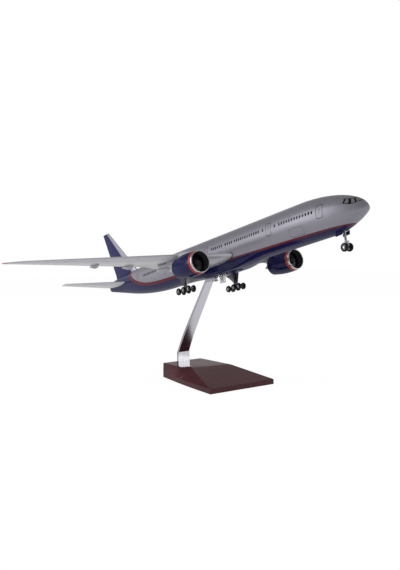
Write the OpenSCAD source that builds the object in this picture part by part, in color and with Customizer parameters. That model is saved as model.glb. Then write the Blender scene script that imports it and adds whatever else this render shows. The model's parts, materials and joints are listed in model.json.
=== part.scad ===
// Desk model of a long twin-engined airliner, climbing on a bent metal strip over a wooden wedge.
// The row frame has its origin at the centre of the base's underside, +X to the nose, +Z up.
// Aircraft pieces are drawn with the nose tip at x = 0 and stations counted aft, then pitched up.

/* [Base] */
// Length of the wooden base, front to back
base_l = 111; // [95:1:150]
// Width at the back edge
base_rear_w = 53; // [44:1:70]
// Width at the front edge
base_front_w = 85; // [72:1:120]
// Height of the flat back part
base_h = 16.2; // [13:0.2:24]
// Thickness left at the front edge
base_edge_h = 5.3; // [3.5:0.1:8]
// Length of the flat top before the slope
base_flat_l = 58; // [44:1:72]
// How far the sides bow outwards
base_bow = 1.4; // [0:0.1:4]

/* [Stand strip] */
// Width of the upright tab and the foot
strip_w = 15.8; // [12:0.2:20]
// Width just above the tab's bend
strip_low_w = 14.6; // [11:0.2:20]
// Width at the top and along the flange
strip_top_w = 10; // [9.4:0.2:16]
// Thickness of the metal strip
strip_t = 2.8; // [1.6:0.1:3.2]
// Wood left behind the strip's slot
slot_wall = 1.2; // [0.8:0.1:6]
// Height of the upright tab above the base
tab_rise = 10.8; // [5:0.1:20]
// Lean of the strip just above the tab, from upright
lean_low = 25.7; // [15:0.1:40]
// Length of the gentle curve above the tab
curve_run = 33; // [8:1:50]
// Lean of the long upper straight
lean_high = 33.4; // [20:0.1:50]
// Length of the long upper straight
high_run = 63.1; // [30:0.1:90]
// Length of the flange under the belly
flange_l = 16; // [12:0.5:17]
// Length of the foot under the base
foot_l = 22; // [17:1:30]
// Inside radius of the sharp bends
bend_r = 1.6; // [1:0.1:4]
// Nose-up angle of the aircraft
pitch = 12.33; // [0:0.01:20]
// Station of the strip's top bend
belly_station = 230.3; // [227:0.1:234]

/* [Fuselage] */
// Length from the nose to the end of the tail cone
fuselage_l = 451; // [446:1:470]
// Diameter of the round middle
fuselage_d = 38.3; // [37.6:0.1:40]
// Wall of the moulded shells
shell_t = 1.8; // [1.4:0.1:2.2]
// Drop of the nose tip below the centreline
nose_drop = 4.6; // [3:0.1:7]
// Length over which the crown rises from the nose tip
nose_top_l = 73; // [60:1:84]
// Length over which the chin falls from the nose tip
nose_low_l = 37; // [32:0.5:44]
// Length over which the sides spread from the nose tip
nose_side_l = 84; // [70:1:90]
// Length of the belly's upsweep at the tail
tail_l = 151; // [140:1:160]
// Height of the tail cone's underside at its end
tail_rise = 2.3; // [1:0.1:6]
// Half width of the tail cone's end
tail_end_w = 2.2; // [1.5:0.1:4]
// Depth of the belly fairing below the round
fairing_depth = 3; // [2:0.1:3.6]
// Width of the belly fairing
fairing_w = 28.4; // [26:0.2:30]
// Station where the belly fairing starts
fairing_start = 130; // [124:1:140]
// Length of the belly fairing
fairing_l = 141; // [132:1:150]

/* [Wings] */
// Span over the raked tips
wing_span = 413; // [390:1:440]
// Station of the leading edge at the body
wing_station = 164.3; // [162:0.1:168]
// Chord at the body
root_chord = 88; // [82:1:92]
// Distance of the trailing edge's kink from the centreline
kink_y = 66; // [60:1:74]
// Chord at the kink
kink_chord = 63; // [58:1:68]
// Chord where the raked tip starts
tip_chord = 15; // [12:0.5:18]
// Sweep of the leading edge
wing_sweep = 33; // [30:0.5:36]
// Dihedral of the leading edge
dihedral = 6.5; // [4:0.1:9]
// Drop of the root's leading edge below the centreline
wing_drop = 7.9; // [7:0.1:9]
// Height of the trailing edge over the leading edge at the body
root_set = -3; // [-4.5:0.1:-1]
// Height of the trailing edge over the leading edge at the kink
kink_set = 1.5; // [-0.5:0.1:2.2]
// Height of the trailing edge over the leading edge at the tip
tip_set = -0.2; // [-1:0.1:1]
// Thickness of the root section as a share of its chord
root_thick = 0.104; // [0.096:0.001:0.12]
// Length of the coloured lamp at each wing tip
tip_light_l = 3.4; // [2:0.1:6]

/* [Tail] */
// Height of the fin's tip above the centreline
fin_top = 81.1; // [70:0.1:95]
// Station of the fin's leading edge at its root
fin_station = 379; // [374:0.5:384]
// Chord of the fin at its root
fin_chord = 54; // [50:0.2:58]
// Chord of the fin at its tip
fin_tip_chord = 15.3; // [12:0.1:20]
// Sweep of the fin's leading edge
fin_sweep = 44.8; // [40:0.1:48]
// Span of the tailplane
stab_span = 139; // [120:1:160]
// Station of the tailplane's leading edge at its root
stab_station = 394; // [390:0.5:398]
// Chord of the tailplane at its root
stab_chord = 45; // [40:0.5:47]
// Chord of the tailplane at its tip
stab_tip_chord = 14; // [12:0.5:20]
// Sweep of the tailplane's leading edge
stab_sweep = 40.5; // [36:0.5:42]
// Height of the tailplane's root above the centreline
stab_z = 5.9; // [5:0.1:8]
// Dihedral of the tailplane
stab_dihedral = 8.6; // [4:0.1:12]

/* [Engines] */
// Distance of each engine from the centreline
engine_y = 62.9; // [58:0.1:68]
// Station of the inlet's front
inlet_station = 157.5; // [150:0.2:162]
// Height of the engine's axis below the centreline
engine_drop = 16.1; // [15.4:0.1:18]
// Largest diameter of the cowl
cowl_d = 24.2; // [23.4:0.1:26]
// Length of the cowl with its lip
cowl_l = 36; // [33:0.5:40]
// Diameter of the inlet's opening
throat_d = 19.5; // [18:0.1:21]
// Length of the bright inlet lip
lip_l = 2.6; // [1.8:0.1:4]
// Number of fan blades
fan_blades = 20; // [12:1:24]

/* [Landing gear] */
// Station of the main legs
main_station = 229.3; // [225:0.1:233]
// Distance of each main leg from the centreline
main_y = 34; // [31:0.1:37]
// Height of the main axles below the centreline
main_axle_drop = 32.9; // [30:0.1:40]
// Spacing of the three axles of a bogie
axle_pitch = 9.24; // [8.6:0.02:11]
// Diameter of the main wheels
main_wheel_d = 7.5; // [6.4:0.1:8.2]
// Distance between the two wheels of an axle
main_track = 6.5; // [6.2:0.1:9]
// Station of the nose leg
nose_leg_station = 30.3; // [29:0.1:33]
// Height of the nose axle below the centreline
nose_axle_drop = 32; // [29:0.1:38]
// Diameter of the nose wheels
nose_wheel_d = 7.7; // [6.4:0.1:8.4]
// Distance between the two nose wheels
nose_track = 6.4; // [6:0.1:8]
// Width of each tyre
tyre_w = 2.3; // [1.8:0.1:2.6]
// Diameter of the axle pins
axle_d = 1.2; // [0.8:0.1:1.4]

/* [Belly lamp] */
// Outer diameter of the clear lamp cup
lamp_d = 7.4; // [6:0.1:9]
// Height of the clear lamp cup
lamp_h = 8.2; // [6:0.1:12]
// Station of the lamp
lamp_station = 207.5; // [205:0.1:209]

/* [Hidden] */
$fn = 48;
// Clearance between pieces that are glued or screwed together
joint_gap = 0.1;
// Radial clearance of a pin that turns in a bore
run_gap = 0.05;
// Overlap that joins two shapes of one piece
fuse = 0.5;
// Reach of a cutting shape past the surface that it cuts
past = 1;

body_r = fuselage_d / 2;
inner_r = body_r - shell_t;
belly_drop = body_r + fairing_depth;

// Curves used for outlines
function lerp(a, b, t) = a + (b - a) * t;
function clamp01(t) = min(1, max(0, t));
function swell(t, p, q) = pow(1 - pow(1 - clamp01(t), p), 1 / q);
function sweep_up(t, k) = t <= 0 ? 0 : t < k ? t * t / (k * (2 - k)) : (2 * t - k) / (2 - k);
function table(x, rows, i = 0) = i >= len(rows) - 2 || x <= rows[i + 1][0]
  ? lerp(rows[i][1], rows[i + 1][1], (x - rows[i][0]) / (rows[i + 1][0] - rows[i][0]))
  : table(x, rows, i + 1);

// Twice the area vector of a flat ring
function ring_area(ring, i = 1) = i >= len(ring) - 1 ? [0, 0, 0]
  : cross(ring[i] - ring[0], ring[i + 1] - ring[0]) + ring_area(ring, i + 1);
function turned(face) = [for (i = [len(face) - 1:-1:0]) face[i]];

// A closed solid through rings that share one point order; point k of a ring faces point n-1-k
module loft(rings) {
  ahead = ring_area(rings[0]) * (rings[len(rings) - 1][0] - rings[0][0]) > 0;
  n = len(rings[0]);
  last = (len(rings) - 1) * n;
  half = floor(n / 2);
  side = [for (i = [0:len(rings) - 2], j = [0:n - 1], k = [0, 1])
    let (a = i * n + j, b = i * n + (j + 1) % n, c = a + n, d = b + n)
    k == 0 ? [a, b, d] : [a, d, c]];
  start_cap = [for (k = [0:half - 1]) k + 1 == n - 2 - k
    ? [k, n - 1 - k, k + 1]
    : k + 1 < n - 2 - k ? [k, n - 1 - k, n - 2 - k, k + 1] : []];
  end_cap = [for (k = [0:half - 1]) k + 1 == n - 2 - k
    ? [last + k, last + k + 1, last + n - 1 - k]
    : k + 1 < n - 2 - k ? [last + k, last + k + 1, last + n - 2 - k, last + n - 1 - k] : []];
  faces = [for (f = concat(side, start_cap, end_cap)) if (len(f) > 0) ahead ? turned(f) : f];
  polyhedron(points = [for (r = rings) each r], faces = faces, convexity = 8);
}

// Stand strip: a flat path in the XZ plane, given by a start, a heading and straight or bent runs
function strip_step(p, run, turn) =
  abs(turn) < 0.01
  ? [p[0] + run * cos(p[2]), p[1] + run * sin(p[2]), p[2]]
  : let (r = run / (turn * PI / 180))
    [p[0] + r * (sin(p[2] + turn) - sin(p[2])), p[1] - r * (cos(p[2] + turn) - cos(p[2])), p[2] + turn];
mid_r = bend_r + strip_t / 2;
function bend_run(turn) = mid_r * abs(turn) * PI / 180;
slot_x = -base_l / 2 + slot_wall + strip_t / 2;
foot_clear = 0.3;
upright = 90;
foot_turn = upright;
low_turn = -lean_low;
curve_turn = lean_low - lean_high;
flange_turn = pitch - (upright - lean_high);
tab_run = base_h + tab_rise - foot_clear - strip_t / 2 - mid_r;
strip_runs = [[foot_l - mid_r, 0, 1], [bend_run(foot_turn), -foot_turn, 6], [tab_run, 0, 1],
  [bend_run(low_turn), low_turn, 4], [curve_run, curve_turn, 8],
  [high_run, 0, 1], [bend_run(flange_turn), flange_turn, 5], [flange_l, 0, 1]];
function strip_poses(p, i = 0) = i >= len(strip_runs) ? [p]
  : let (r = strip_runs[i], n = r[2], q = strip_step(p, r[0], r[1]))
    concat([for (k = [0:n - 1]) strip_step(p, r[0] * k / n, r[1] * k / n)], strip_poses(q, i + 1));
strip_start = [slot_x + foot_l, foot_clear + strip_t / 2, 180];
strip_path = strip_poses(strip_start);
// The top bend and the flange that carries the belly
flange_pose = strip_path[len(strip_path) - 2];
belly_point = [flange_pose[0] - sin(pitch) * (strip_t / 2 + joint_gap),
  flange_pose[1] + cos(pitch) * (strip_t / 2 + joint_gap)];

module aircraft() {
  translate([belly_point[0], 0, belly_point[1]])
    rotate([0, -pitch, 0])
      translate([belly_station, 0, belly_drop])
        children();
}

// Wooden base
base_steps = 12;
function base_half_w(x) = let (t = x / base_l)
  lerp(base_rear_w, base_front_w, t) / 2 + base_bow * 4 * t * (1 - t);
function base_top_z(x) = x <= base_flat_l ? base_h
  : lerp(base_h, base_edge_h, (x - base_flat_l) / (base_l - base_flat_l));
top_half_w = base_rear_w / 2;
function base_top_w(x) = x <= base_flat_l ? top_half_w
  : lerp(top_half_w, base_front_w / 2, (x - base_flat_l) / (base_l - base_flat_l));
base_xs = concat([for (i = [0:base_steps / 2]) base_flat_l * i / (base_steps / 2)],
  [for (i = [1:base_steps / 2]) base_flat_l + (base_l - base_flat_l) * i / (base_steps / 2)]);
least_slope = 0.3;
function base_side(x, sign) = [[x - base_l / 2, sign * base_half_w(x), base_edge_h],
  [x - base_l / 2, sign * min(base_top_w(x), base_half_w(x) - least_slope),
    max(base_top_z(x), base_edge_h + least_slope / 2)]];
function base_ring(x) = concat([[x - base_l / 2, -base_half_w(x), 0]], base_side(x, -1),
  [base_side(x, 1)[1], base_side(x, 1)[0]], [[x - base_l / 2, base_half_w(x), 0]]);
foot_head_room = 0.4;
foot_recess = strip_t + foot_clear + foot_head_room;
base_screw_r = 1.4;
base_screw_head_r = 2.6;
base_screw_l = 9;
screw_side = strip_w / 4;
screw_x = slot_x + foot_l * 0.62;
slot_clear = 0.15;

module base() {
  color("#4a2a2e")
  difference() {
    loft([for (x = base_xs) base_ring(x)]);
    translate([slot_x - strip_t / 2 - slot_clear, -strip_w / 2 - slot_clear, -past])
      cube([strip_t + 2 * slot_clear, strip_w + 2 * slot_clear, base_h + 2 * past]);
    translate([slot_x - strip_t / 2 - slot_clear, -strip_w / 2 - slot_clear, -past])
      cube([foot_l + strip_t + 4 * slot_clear, strip_w + 2 * slot_clear, foot_recess + past]);
    translate([slot_x, -strip_w / 2 - slot_clear, foot_recess - past])
      cube([mid_r + strip_t, strip_w + 2 * slot_clear, bend_r + past]);
    for (s = [-1, 1])
      translate([screw_x, s * screw_side, 0])
        cylinder(r = base_screw_r + joint_gap / 2, h = foot_recess + base_screw_l);
  }
}

// A screw that points along +Z, with its slotted head below z = 0
slot_share = 0.24;
module screw(r, head_r, head_h, length) {
  difference() {
    union() {
      translate([0, 0, -head_h / 2])
        cylinder(r = r, h = length + head_h / 2);
      translate([0, 0, -head_h])
        cylinder(r = head_r, h = head_h);
    }
    translate([-head_r, -head_r * slot_share / 2, -head_h - past])
      cube([2 * head_r, head_r * slot_share, past + head_h * 0.4]);
  }
}

module base_screws() {
  color("silver")
  for (s = [-1, 1])
    translate([screw_x, s * screw_side, foot_clear + joint_gap / 2])
      base_screw();
}

// A countersunk wood screw whose head fills the taper in the foot
screw_head_h = strip_t - foot_clear;
screw_slot_w = 0.6;
screw_slot_h = 0.5;
module base_screw() {
  difference() {
    union() {
      cylinder(r = base_screw_r, h = screw_head_h + base_screw_l - past);
      cylinder(r1 = base_screw_head_r, r2 = base_screw_r, h = screw_head_h);
    }
    translate([-base_screw_head_r, -screw_slot_w / 2, -past])
      cube([2 * base_screw_head_r, screw_slot_w, past + screw_slot_h]);
  }
}

flange_screw_r = 1;
flange_screw_head_r = 1.9;
flange_screw_head_h = 0.9;
flange_screw_bite = 4;
flange_screw_l = strip_t + fairing_depth + shell_t + flange_screw_bite;
flange_hole_x = flange_l * 0.5;
flange_screw_side = strip_top_w / 4;

module strip_band() {
  up = [for (p = strip_path) [p[0] - sin(p[2]) * strip_t / 2, p[1] + cos(p[2]) * strip_t / 2]];
  down = [for (p = strip_path) [p[0] + sin(p[2]) * strip_t / 2, p[1] - cos(p[2]) * strip_t / 2]];
  rotate([90, 0, 0])
    linear_extrude(strip_w + past, center = true)
      polygon(concat(up, [for (i = [len(down) - 1:-1:0]) down[i]]));
}

// Front outline of the strip: straight at the tab, then tapering to the top
tab_top_z = base_h + tab_rise;
tab_step_low = 0.3;
tab_step_high = 0.8;
module strip_outline() {
  translate([-base_l, 0, 0])
    rotate([90, 0, 90])
      linear_extrude(3 * base_l)
        polygon([[-strip_w / 2, -past], [strip_w / 2, -past], [strip_w / 2, tab_top_z - tab_step_low],
          [strip_low_w / 2, tab_top_z + tab_step_high], [strip_top_w / 2, flange_pose[1] - strip_t],
          [strip_top_w / 2, flange_pose[1] + flange_l], [-strip_top_w / 2, flange_pose[1] + flange_l],
          [-strip_top_w / 2, flange_pose[1] - strip_t], [-strip_low_w / 2, tab_top_z + tab_step_high],
          [-strip_w / 2, tab_top_z - tab_step_low]]);
}

module strip() {
  color("#c8c8cc")
  difference() {
    intersection() {
      strip_band();
      strip_outline();
    }
    for (s = [-1, 1])
      translate([screw_x, s * screw_side, 0]) {
        cylinder(r = base_screw_r + joint_gap, h = foot_clear + 2 * strip_t);
        translate([0, 0, foot_clear - joint_gap / 2])
          cylinder(r1 = base_screw_head_r + joint_gap, r2 = base_screw_r + joint_gap, h = screw_head_h);
      }
    on_flange()
      cylinder(r = flange_screw_r + joint_gap, h = 4 * strip_t, center = true);
  }
}

// Places a child at both flange screws, on the flange's upper face
module on_flange() {
  translate([flange_pose[0], 0, flange_pose[1]])
    rotate([0, -pitch, 0])
      for (s = [-1, 1])
        translate([flange_hole_x, s * flange_screw_side, strip_t / 2])
          children();
}

module flange_screws() {
  color("silver")
  on_flange()
    translate([0, 0, -strip_t - joint_gap / 2])
      screw(flange_screw_r, flange_screw_head_r, flange_screw_head_h, flange_screw_l);
}

// Fuselage outline, by station
tail_start = fuselage_l - tail_l;
crown_l = tail_l * 0.62;
tail_end_top = 14.2;
least_r = 0.6;
function tail_t(s) = (s - tail_start) / tail_l;
function top_z(s) = s < nose_top_l
  ? -nose_drop + (body_r + nose_drop) * swell(s / nose_top_l, 2.06, 1.85)
  : body_r - (body_r - tail_end_top) * pow(clamp01((s - fuselage_l + crown_l) / crown_l), 1.8);
function low_z(s) = s < nose_low_l
  ? -nose_drop - (body_r - nose_drop) * swell(s / nose_low_l, 1.3, 1.4)
  : -body_r + (body_r + tail_rise) * sweep_up(tail_t(s), 0.64);
function half_w(s) = s < nose_side_l
  ? body_r * swell(s / nose_side_l, 2, 1.95)
  : body_r - (body_r - tail_end_w) * sweep_up(tail_t(s), 0.6);
function wide_z(s) = s < nose_top_l ? -nose_drop * (1 - swell(s / nose_top_l, 1.5, 1))
  : max(0, (top_z(s) + low_z(s)) / 2);
nose_steps = 15;
tail_steps = 13;
first_station = 0.05;
stations = concat([for (i = [0:nose_steps]) max(first_station, nose_side_l * pow(i / nose_steps, 2))],
  [for (i = [0:tail_steps]) lerp(tail_start, fuselage_l, i / tail_steps)]);
arc_steps = 22;
function outer_reach(s) = [max(least_r, half_w(s)), max(least_r, top_z(s) - wide_z(s)),
  max(least_r, wide_z(s) - low_z(s))];
// The cavity closes towards both ends, where its half width sinks into the split face
sunk_w = 0.03;
function inner_reach(s) = let (o = outer_reach(s))
  [max(sunk_w, min(o[0] - shell_t, 3 * (o[0] - 2 * shell_t))),
    max(least_r / 2, o[1] - shell_t), max(least_r / 2, o[2] - shell_t)];
function half_arc(s, reach) = [for (i = [0:arc_steps])
  let (a = 90 - 180 * i / arc_steps)
  [-s, reach[0] * cos(a), wide_z(s) + (a >= 0 ? reach[1] : reach[2]) * sin(a)]];
function shell_ring(s) = let (outer = half_arc(s, outer_reach(s)), inner = half_arc(s, inner_reach(s)))
  concat(outer, [for (i = [arc_steps:-1:0]) inner[i]]);

// Root slots and sockets shared by the shells and what plugs into them
slot_gap = 0.15;
tongue_t = 3.4;
tongue_z = -wing_drop + root_set * 0.45;
tongue_front = wing_station + root_chord * 0.2;
tongue_l = root_chord * 0.5;
peg_r = 1;
boss_r = 2.4;
peg_l = 3;
peg_margin = 10;
peg_stations = [nose_side_l + peg_margin, fairing_start - peg_margin,
  fairing_start + fairing_l + peg_margin, fin_station - 2 * peg_margin];
fin_thick = 0.095;
stab_thick = 0.09;
split_gap = joint_gap / 2;

module half_shell() {
  loft([for (s = stations) shell_ring(s)]);
}

// Cuts common to both shells; the port half is drawn and the other is its mirror image
module shell_cuts() {
  wing_tongue(slot_gap);
  translate([0, fairing_side - slot_gap, 0])
    wing_root(slot_gap, body_r);
  translate([-fin_station, 0, fin_foot_z - past])
    linear_extrude(fin_top)
      foil_outline(fin_chord, fin_thick, slot_gap);
  translate([-stab_station, stab_foot_y - past, stab_z])
    rotate([-90, 0, 0])
      linear_extrude(body_r)
        foil_outline(stab_chord, stab_thick, slot_gap);
  belly_holes(joint_gap);
  nose_leg_socket(joint_gap);
  translate([-body_r * 30, -body_r, -2 * body_r])
    cube([body_r * 31, body_r + split_gap, 4 * body_r]);
}

module bosses() {
  for (s = peg_stations)
    translate([-s, split_gap, 0])
      rotate([-90, 0, 0])
        cylinder(r = boss_r, h = half_w(s) - shell_t + fuse);
}

module fuselage_left() {
  color("#a9a9b0") {
    difference() {
      union() {
        half_shell();
        bosses();
      }
      shell_cuts();
    }
    for (s = peg_stations)
      translate([-s, -peg_l, 0])
        rotate([-90, 0, 0])
          cylinder(r = peg_r, h = peg_l + past);
  }
}

module fuselage_right() {
  color("#a9a9b0")
  mirror([0, 1, 0])
    difference() {
      union() {
        half_shell();
        bosses();
      }
      shell_cuts();
      for (s = peg_stations)
        translate([-s, -past, 0])
          rotate([-90, 0, 0])
            cylinder(r = peg_r + run_gap, h = peg_l + past + 2 * joint_gap);
    }
}

// Belly fairing: a shallow tray under the round of the body
fairing_steps = 20;
fairing_arc = 16;
fairing_gap = joint_gap;
fairing_edge_t = 0.15;
function ease(t) = let (u = clamp01(t)) u * u * (3 - 2 * u);
function fairing_fill(s) = let (t = (s - fairing_start) / fairing_l)
  min(ease(t / 0.34), ease((1 - t) / 0.4));
corner_r = 5;
function tray_z(y, fill) = let (d = max(0, abs(y) - (fairing_w / 2 - corner_r)),
    flat = -belly_drop + corner_r - sqrt(max(0, corner_r * corner_r - d * d)))
  lerp(-sqrt(body_r * body_r - y * y) - fairing_gap - fairing_edge_t, flat, fill);
function fairing_ring(s) = let (fill = fairing_fill(s),
    ys = [for (i = [0:fairing_arc]) -fairing_w / 2 * cos(180 * i / fairing_arc)])
  concat([for (y = ys) [-s, y, -sqrt(pow(body_r + fairing_gap, 2) - y * y)]],
    [for (i = [fairing_arc:-1:0]) [-s, ys[i], tray_z(ys[i], fill)]]);
fairing_ss = [for (i = [0:fairing_steps])
  fairing_start + fairing_l * (1 - cos(180 * i / fairing_steps)) / 2];

module belly_fairing() {
  color("#2f2f66")
  difference() {
    loft([for (s = fairing_ss) fairing_ring(s)]);
    belly_holes(joint_gap);
  }
}

// Screw holes through the fairing, the shells and the block inside
lamp_screw_r = 0.6;
lamp_screw_head_r = 1.05;
lamp_screw_head_h = 0.5;
lamp_rim_w = 1.6;
lamp_flange_w = lamp_d + 2 * lamp_rim_w;
lamp_flange_t = 0.8;
lamp_screw_inset = 1.1;
lamp_screw_at = lamp_flange_w / 2 - lamp_screw_inset;
lamp_screw_bite = 2.5;
lamp_screw_l = lamp_flange_t + fairing_depth + shell_t + lamp_screw_bite;
module belly_holes(gap) {
  for (s = [-1, 1])
    translate([-belly_station + flange_hole_x, s * flange_screw_side, -belly_drop - past])
      cylinder(r = flange_screw_r + gap, h = body_r);
  on_lamp_screws()
    cylinder(r = lamp_screw_r + gap, h = body_r);
}

module on_lamp_screws() {
  for (i = [-1, 1], s = [-1, 1])
    translate([-lamp_station + i * lamp_screw_at, s * lamp_screw_at, -belly_drop - past])
      children();
}

block_past = 4;
block_l = belly_station - lamp_station + lamp_flange_w + block_past;
block_h = 5;
module belly_block() {
  color("#8b6b45")
  difference() {
    intersection() {
      translate([-belly_station - block_past, -inner_r, -inner_r])
        cube([block_l, 2 * inner_r, block_h]);
      translate([-belly_station - block_past, 0, 0])
        rotate([0, 90, 0])
          cylinder(r = inner_r - 2 * joint_gap, h = block_l);
      translate([-belly_station - block_past, -strip_w / 2, -inner_r])
        cube([block_l, strip_w, inner_r]);
    }
    belly_holes(joint_gap / 4);
  }
}

// Clear lamp under the belly
lamp_wall = 0.9;
lamp_low_d = lamp_d - 1;
module lamp_cup() {
  color("#e6eef2", 0.5)
  translate([-lamp_station, 0, -belly_drop - joint_gap])
    difference() {
      union() {
        translate([0, 0, -lamp_flange_t / 2])
          cube([lamp_flange_w, lamp_flange_w, lamp_flange_t], center = true);
        translate([0, 0, -lamp_h])
          cylinder(d1 = lamp_low_d, d2 = lamp_d, h = lamp_h);
      }
      translate([0, 0, -lamp_h + lamp_wall])
        cylinder(d1 = lamp_low_d - 2 * lamp_wall, d2 = lamp_d - 2 * lamp_wall, h = lamp_h);
      for (i = [-1, 1], s = [-1, 1])
        translate([i * lamp_screw_at, s * lamp_screw_at, -lamp_h])
          cylinder(r = lamp_screw_r + joint_gap, h = 2 * lamp_h);
    }
}

bulb_r = 1.5;
bulb_l = lamp_h * 0.45;
bulb_cap_r = bulb_r + 0.3;
bulb_cap_h = 0.8;
module lamp_bulb() {
  color("#f2efe0")
  translate([-lamp_station, 0, -belly_drop - joint_gap]) {
    translate([0, 0, -bulb_cap_h])
      cylinder(r = bulb_cap_r, h = bulb_cap_h);
    translate([0, 0, -bulb_l])
      cylinder(r = bulb_r, h = bulb_l);
    translate([0, 0, -bulb_l])
      sphere(r = bulb_r);
  }
}

module lamp_screws() {
  color("silver")
  for (i = [-1, 1], s = [-1, 1])
    translate([-lamp_station + i * lamp_screw_at, s * lamp_screw_at,
        -belly_drop - joint_gap - lamp_flange_t - joint_gap / 2])
      screw(lamp_screw_r, lamp_screw_head_r, lamp_screw_head_h, lamp_screw_l);
}

// Wing and tail sections
foil_steps = 12;
edge_t = 0.45;
function foil_half(u) = 5 * (0.2969 * sqrt(u) - 0.126 * u - 0.3516 * u * u
  + 0.2843 * pow(u, 3) - 0.1036 * pow(u, 4));
function foil_us() = [for (i = [0:foil_steps]) (1 - cos(180 * i / foil_steps)) / 2];
function foil_points(chord, thick, grow) = let (us = foil_us())
  concat([for (i = [foil_steps:-1:0]) [us[i] * chord + (us[i] - 0.5) * 2 * grow,
      chord * thick * foil_half(us[i]) + us[i] * edge_t / 2 + (i == 0 ? 0 : grow)]],
    [for (i = [1:foil_steps]) [us[i] * chord + (us[i] - 0.5) * 2 * grow,
      -chord * thick * foil_half(us[i]) - us[i] * edge_t / 2 - grow]]);

// A closed foil outline with its leading edge at the origin, pointing along -X
module foil_outline(chord, thick, grow) {
  polygon([for (p = foil_points(chord, thick, grow)) [-p[0], p[1]]]);
}

// Wing planform, by distance from the centreline
fairing_side = fairing_w / 2 + joint_gap;
tip_y = wing_span / 2;
rake_l = 16.5;
rake_start = tip_y - rake_l;
rake_back = 16;
kink_thick = 0.104;
tip_thick = 0.1;
end_chord = 4.2;
function wing_le(y) = y <= rake_start ? wing_station + max(0, y - body_r) * tan(wing_sweep)
  : lerp(wing_le(rake_start), wing_le(rake_start) + rake_back, (y - rake_start) / (tip_y - rake_start));
function wing_chord(y) = table(max(y, body_r), [[body_r, root_chord], [kink_y, kink_chord],
  [rake_start, tip_chord], [tip_y, end_chord]]);
function wing_thick(y) = table(max(y, body_r),
  [[body_r, root_thick], [kink_y, kink_thick], [tip_y, tip_thick]]);
function wing_z(y) = -wing_drop + max(0, y - body_r) * tan(dihedral);
function wing_set(y) = table(max(y, body_r), [[body_r, root_set], [kink_y, kink_set], [tip_y, tip_set]]);
function wing_low(s, y) = let (u = clamp01((s - wing_le(y)) / wing_chord(y)))
  wing_z(y) + wing_set(y) * u - wing_chord(y) * wing_thick(y) * foil_half(u) - u * edge_t / 2;
function wing_ring(y) = [for (p = foil_points(wing_chord(y), wing_thick(y), 0))
  [-wing_le(y) - p[0], y, wing_z(y) + p[1] + wing_set(y) * p[0] / wing_chord(y)]];
light_y = tip_y - tip_light_l;
inner_ys = [fairing_side, body_r, lerp(body_r, kink_y, 0.33), lerp(body_r, kink_y, 0.67), kink_y];
outer_ys = [kink_y + (rake_start - kink_y) * 0.33, kink_y + (rake_start - kink_y) * 0.67, rake_start,
  light_y];

// A straight length of the root section, running outwards from y = 0
module wing_root(gap, length) {
  rotate([90, 0, 0])
    mirror([0, 0, 1])
      linear_extrude(length)
        polygon([for (p = foil_points(root_chord, root_thick, gap))
          [-wing_station - p[0], -wing_drop + p[1] + root_set * p[0] / root_chord]]);
}

module wing_tongue(gap) {
  translate([-tongue_front - tongue_l - gap, joint_gap, tongue_z - tongue_t / 2 - gap])
    cube([tongue_l + 2 * gap, body_r + past, tongue_t + 2 * gap]);
}

leg_peg_r = 1.2;
leg_peg_l = 3.4;
main_leg_top = wing_low(main_station, main_y);
pylon_t = 3.2;
pylon_gap = 0.25;
pylon_tab_t = pylon_t - 1.2;
pylon_tab_x = wing_le(engine_y) + wing_chord(engine_y) * 0.22;
pylon_tab_l = 9;
pylon_tab_h = 2;
pylon_tab_z = wing_low(pylon_tab_x + pylon_tab_l / 2, engine_y);

module wing_left() {
  color("#b9bac0")
  difference() {
    union() {
      loft([for (y = concat(inner_ys, outer_ys)) wing_ring(y)]);
      wing_tongue(0);
    }
    translate([-main_station, main_y, main_leg_top - past])
      cylinder(r = leg_peg_r + joint_gap / 2, h = leg_peg_l + past + joint_gap);
    translate([-pylon_tab_x - pylon_tab_l - slot_gap, engine_y - pylon_tab_t / 2 - slot_gap,
        pylon_tab_z - past])
      cube([pylon_tab_l + 2 * slot_gap, pylon_tab_t + 2 * slot_gap, pylon_tab_h + past + slot_gap]);
  }
}

module tip_light_left() {
  color("#d8452a")
  loft([for (y = [light_y + joint_gap / 2, lerp(light_y, tip_y, 0.5), tip_y]) wing_ring(y)]);
}

// Canoe fairings over the flap tracks
canoe_ys = [48, 86, 120];
canoe_ls = [30, 26, 23];
canoe_hs = [4.4, 3.6, 3.2];
canoe_gap = 0.3;
canoe_edge_t = 0.05;
canoe_end = 0.02;
canoe_ahead = 0.78;
canoe_steps = 8;
canoe_arc = 8;
function canoe_roof(s, y) = wing_low(min(s, wing_le(y) + wing_chord(y)), y) - canoe_gap;
function canoe_ring(y, l, h, t) = let (s = wing_le(y) + wing_chord(y) + l * (t - canoe_ahead),
    grow = max(0.05, sin(180 * pow(t, 0.8))), w = l * 0.075 * grow, deep = h * grow)
  concat([for (i = [0:canoe_arc]) let (v = 1 - 2 * i / canoe_arc)
      [-s, y + w * v, canoe_roof(s, y + w * v)]],
    [for (i = [0:canoe_arc]) let (v = 2 * i / canoe_arc - 1)
      [-s, y + w * v, canoe_roof(s, y + w * v) - canoe_edge_t - deep * sqrt(max(0, 1 - v * v))]]);

module flap_fairings_left() {
  color("#b4b5bb")
  for (k = [0:len(canoe_ys) - 1])
    loft([for (i = [0:canoe_steps])
      canoe_ring(canoe_ys[k], canoe_ls[k], canoe_hs[k], lerp(canoe_end, 1 - canoe_end, i / canoe_steps))]);
}

// Fin and tailplane
fin_sink = 2.2;
fin_foot_z = top_z(fin_station + fin_chord) - shell_t - fin_sink;
fin_root_z = body_r + 0.4;
function fin_ring(z) = let (t = clamp01((z - fin_root_z) / (fin_top - fin_root_z)),
    le = fin_station + max(0, z - fin_root_z) * tan(fin_sweep), c = lerp(fin_chord, fin_tip_chord, t))
  [for (p = foil_points(c, fin_thick, 0)) [-le - p[0], p[1], z]];

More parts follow.
